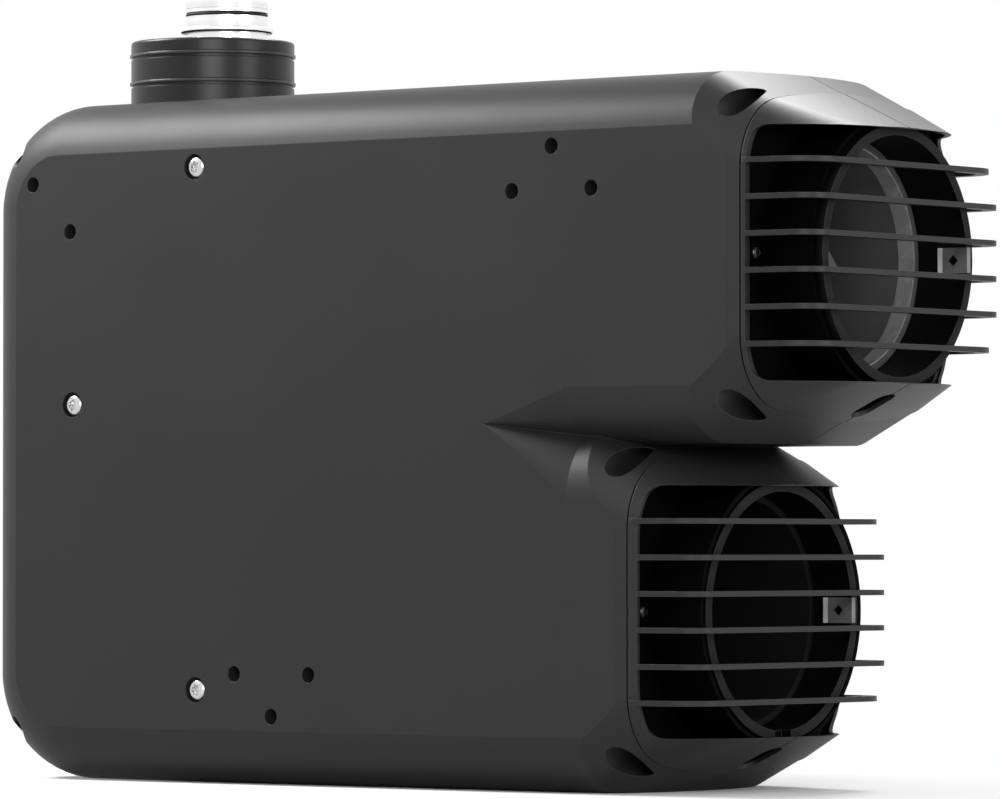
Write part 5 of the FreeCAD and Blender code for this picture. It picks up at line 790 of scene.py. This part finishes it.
# The springs that close the two valves, one over each plunger and fixed at the top of its core.
# Bright spring wire, cold wound, pressed together by 2 mm when the coil lifts the plunger.
SPRING_STEEL = (0.55, 0.55, 0.57, 1.0)
COIL_RADIUS = 0.0024
SPRING_WIRE = 0.0004
SPRING_TURNS = 6.0
SPRING_FOOT = 0.24545
SPRING_RISE = 0.0081
VALVE_Y = 0.03
spring_steel = rolled_strip("spring_steel", SPRING_STEEL, roughness=0.25, along=(1.0, 1.0, 0.2),
                            depth=0.00001)


def spring_tree(material):
    """A round wire wound on a helix, with its ends capped."""
    tree, sockets = new_tree("closing_spring", dict.fromkeys(("Coil Radius", "Wire Radius", "Turns", "Rise"),
                                                             "NodeSocketFloat"))
    given = tree.nodes.new("NodeGroupInput")
    helix = tree.nodes.new("GeometryNodeCurveSpiral")
    helix.inputs["Resolution"].default_value = 24
    section = tree.nodes.new("GeometryNodeCurvePrimitiveCircle")
    section.inputs["Resolution"].default_value = 10
    wind = tree.nodes.new("GeometryNodeCurveToMesh")
    wind.inputs["Fill Caps"].default_value = True
    stand = tree.nodes.new("GeometryNodeInstanceOnPoints")
    links = tree.links
    links.new(given.outputs["Turns"], helix.inputs["Rotations"])
    links.new(given.outputs["Coil Radius"], helix.inputs["Start Radius"])
    links.new(given.outputs["Coil Radius"], helix.inputs["End Radius"])
    links.new(given.outputs["Rise"], helix.inputs["Height"])
    links.new(given.outputs["Wire Radius"], section.inputs["Radius"])
    links.new(helix.outputs["Curve"], wind.inputs["Curve"])
    links.new(section.outputs["Curve"], wind.inputs["Profile Curve"])
    links.new(given.outputs["Places"], stand.inputs["Points"])
    links.new(wind.outputs["Mesh"], stand.inputs["Instance"])
    make_real(tree, stand.outputs["Instances"], material)
    return tree, sockets


def fit_spring(name, node, along):
    """One spring in its place, standing for the imported one."""
    tree, sockets = spring_tree(spring_steel)
    spring = stand_on(name, [(along, VALVE_Y, SPRING_FOOT)], tree, sockets,
                      {"Coil Radius": COIL_RADIUS, "Wire Radius": SPRING_WIRE, "Turns": SPRING_TURNS,
                       "Rise": SPRING_RISE})
    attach(spring, "casing")
    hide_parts(node)
    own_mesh(spring)


fit_spring("safety_closing_spring", "safety_spring", along=-0.06825)
fit_spring("main_closing_spring", "main_spring", along=-0.03625)


# The control board on four posts of the rear shell, with its relays, transformer and capacitors.
# Fibreglass board under green solder mask, copper tracks showing through as paler lanes.
MASK_GREEN = (0.012, 0.085, 0.028, 1.0)
LANE_GREEN = (0.05, 0.17, 0.06, 1.0)
COMPONENT_BLACK = (0.015, 0.016, 0.022, 1.0)


def masked_board(name, mask, lane, pitch):
    """Solder mask over a maze of tracks on a square raster."""
    material, tree, surface = new_material(name)
    surface.inputs["Coat Weight"].default_value = 0.4
    place = object_place(tree)
    lay = tree.nodes.new("ShaderNodeMapping")
    lay.inputs["Rotation"].default_value = (math.radians(90.0), 0.0, 0.0)
    tree.links.new(place, lay.inputs["Vector"])
    lanes = tree.nodes.new("ShaderNodeTexBrick")
    lanes.offset = 0.5
    lanes.inputs["Color1"].default_value = mask
    lanes.inputs["Color2"].default_value = shaded(mask, 0.8)
    lanes.inputs["Mortar"].default_value = lane
    lanes.inputs["Scale"].default_value = 1.0 / pitch
    lanes.inputs["Mortar Size"].default_value = 0.06
    tree.links.new(lay.outputs["Vector"], lanes.inputs["Vector"])
    dress(tree, surface, lanes.outputs["Color"],
          between(tree, noise(tree, place, size=0.02), low=0.22, high=0.34),
          raise_surface(tree, lanes.outputs["Fac"], depth=0.00004, strength=0.5))
    return material


board_mask = masked_board("board_mask", MASK_GREEN, LANE_GREEN, pitch=0.006)
finish_node(board_mask, "control_board")
component_case = moulded_plastic("component_case", COMPONENT_BLACK, roughness=0.30, grain=0.0012,
                                 depth=0.00002)
finish_node(component_case, "board_parts")


# The plug rows along the board's lower edge.
# Natural nylon, milky, snapped over tinned pins.
NYLON_CREAM = (0.62, 0.60, 0.52, 1.0)
plug_nylon = moulded_plastic("plug_nylon", NYLON_CREAM, roughness=0.38, grain=0.0010, depth=0.00002)
finish_node(plug_nylon, "board_connectors")


# The vented splash cover over the board and the four screws through it into the rear shell's posts.
# Black flame-retardant plastic, thin-walled, with small zinc pan heads.
COVER_BLACK = (0.016, 0.016, 0.0165, 1.0)
COVER_HEAD_RADIUS = 0.0030
COVER_HEAD_HEIGHT = 0.0020
cover_plastic = moulded_plastic("cover_plastic", COVER_BLACK, roughness=0.50, grain=0.0007, depth=0.00004)
finish_node(cover_plastic, "electronics_cover")
bright_zinc = plated_steel("bright_zinc", ZINC_GREY, roughness=0.30, patch=0.004, scratch=0.0004)
board_low, board_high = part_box("board_screws")
cover_blank = screw_blank("cover_blank", head_radius=COVER_HEAD_RADIUS, head_height=COVER_HEAD_HEIGHT,
                          recess_radius=0.0016, recess_depth=0.0011, shank_radius=0.0012, shank_length=0.0360,
                          pitch=0.0010)
cover_places = [(x, board_low.y + COVER_HEAD_HEIGHT, z)
                for x in (board_low.x + COVER_HEAD_RADIUS, board_high.x - COVER_HEAD_RADIUS)
                for z in (board_low.z + COVER_HEAD_RADIUS, board_high.z - COVER_HEAD_RADIUS)]
fit_screws("cover_screws", cover_blank, cover_places, facing=(0, -1, 0), material=bright_zinc,
           seed=2, node="board_screws")


# The room: a pale floor that runs on without an edge and a white sweep behind it.
# Near the object it is plain painted board that takes the shadow; further off it is lit to white.
FLOOR_SIZE = 60
FLOOR_SHADE = (0.60, 0.60, 0.60, 1.0)
FLOOR_WHITE = (0.95, 0.95, 0.95, 1.0)
FADE_SHAPE = (0.9, 1.5, 0.0)
FADE_START = 0.14
FADE_STOP = 0.44


def calculated(tree, operation, first, second):
    """Two numbers taken together."""
    result = tree.nodes.new("ShaderNodeMath")
    result.operation = operation
    tree.links.new(first, result.inputs[0])
    tree.links.new(second, result.inputs[1])
    return result.outputs["Value"]


def room_rays(tree):
    """1 for rays that look at the room straight or through glass, and the same with mirrored ones."""
    ray = tree.nodes.new("ShaderNodeLightPath")
    seen = calculated(tree, "MAXIMUM", ray.outputs["Is Camera Ray"], ray.outputs["Is Transmission Ray"])
    return seen, calculated(tree, "MAXIMUM", seen, ray.outputs["Is Glossy Ray"])


bpy.ops.mesh.primitive_plane_add(size=FLOOR_SIZE)
floor = bpy.context.object
floor.name = "floor"
paint, tree, surface = new_material("floor_paint")
surface.inputs["Roughness"].default_value = 1.0
surface.inputs["Specular IOR Level"].default_value = 0.0
seen, mirrored = room_rays(tree)
tree.links.new(blend_colours(tree, seen, FLOOR_SHADE, FLOOR_WHITE), surface.inputs["Base Color"])
flat = tree.nodes.new("ShaderNodeVectorMath")
flat.operation = "MULTIPLY"
flat.inputs[1].default_value = FADE_SHAPE
away = tree.nodes.new("ShaderNodeVectorMath")
away.operation = "LENGTH"
tree.links.new(object_place(tree), flat.inputs[0])
tree.links.new(flat.outputs["Vector"], away.inputs[0])
distance = between(tree, away.outputs["Value"], low=0.0, high=1.0, start=FADE_START, stop=FADE_STOP)
glow = tree.nodes.new("ShaderNodeEmission")
glow.inputs["Strength"].default_value = 1.0
sweep = tree.nodes.new("ShaderNodeMixShader")
tree.links.new(calculated(tree, "MULTIPLY", distance, mirrored), sweep.inputs["Fac"])
tree.links.new(surface.outputs["BSDF"], sweep.inputs[1])
tree.links.new(glow.outputs["Emission"], sweep.inputs[2])
tree.links.new(sweep.outputs["Shader"], tree.nodes["Material Output"].inputs["Surface"])
floor.data.materials.append(paint)


# The light: a white room, soft boxes over the left end, high behind, to the right and by the camera.
# They draw the bright line along the top edge and the sheen on the sloping ends and roofs.
ROOM_WHITE = (1.0, 1.0, 1.0, 1.0)
ROOM_LIGHT = 0.35
world = bpy.data.worlds.new("studio")
bpy.context.scene.world = world
world.use_nodes = True
tree = world.node_tree
back = tree.nodes["Background"]
back.inputs["Color"].default_value = ROOM_WHITE
mirrored = room_rays(tree)[1]
tree.links.new(between(tree, mirrored, ROOM_LIGHT, high=1.0, start=0.0, stop=1.0), back.inputs["Strength"])


def softbox(name, place, target, size, power):
    """A rectangular lamp behind cloth, pointed at a target."""
    lamp = bpy.data.lights.new(name, "AREA")
    lamp.shape = "RECTANGLE"
    lamp.size, lamp.size_y = size
    lamp.energy = power
    holder = bpy.data.objects.new(name, lamp)
    holder.location = place
    holder.rotation_euler = (Vector(target) - Vector(place)).to_track_quat("-Z", "Y").to_euler()
    bpy.context.scene.collection.objects.link(holder)


softbox("left_top", place=(-0.72, -0.35, 0.91), target=(-0.14, -0.05, 0.33), size=(0.45, 0.45), power=16.0)
softbox("back_top", place=(-0.32, 1.30, 1.86), target=(0.22, 0.0, 0.33), size=(0.50, 0.40), power=29.0)
softbox("right_side", place=(2.0, 0.10, 0.45), target=(0.1, 0.0, 0.2), size=(0.8, 1.2), power=14.0)
softbox("camera_fill", place=(1.70, -2.20, 0.90), target=(0.1, 0.0, 0.2), size=(1.4, 1.0), power=31.0)


# The camera: a long lens low down in front of the right-hand corner, as in the photograph.
# It looks slightly upwards, so the underside stays hidden and the upper hood's floor shows.
CAMERA_PLACE = (2.04754, -2.57664, 0.11767)
CAMERA_LENS = 236.57
CAMERA_TURN = math.radians(38.144)
CAMERA_LIFT = math.radians(1.2995)
camera_data = bpy.data.cameras.new("camera")
camera_data.sensor_width = 36.0
camera_data.lens = CAMERA_LENS
camera_data.clip_end = 100.0
camera = bpy.data.objects.new("camera", camera_data)
camera.location = CAMERA_PLACE
level = math.cos(CAMERA_LIFT)
towards = Vector((-math.sin(CAMERA_TURN) * level, math.cos(CAMERA_TURN) * level, math.sin(CAMERA_LIFT)))
camera.rotation_euler = towards.to_track_quat("-Z", "Y").to_euler()
bpy.context.scene.collection.objects.link(camera)
bpy.context.scene.camera = camera
bpy.context.scene.view_settings.view_transform = "Standard"
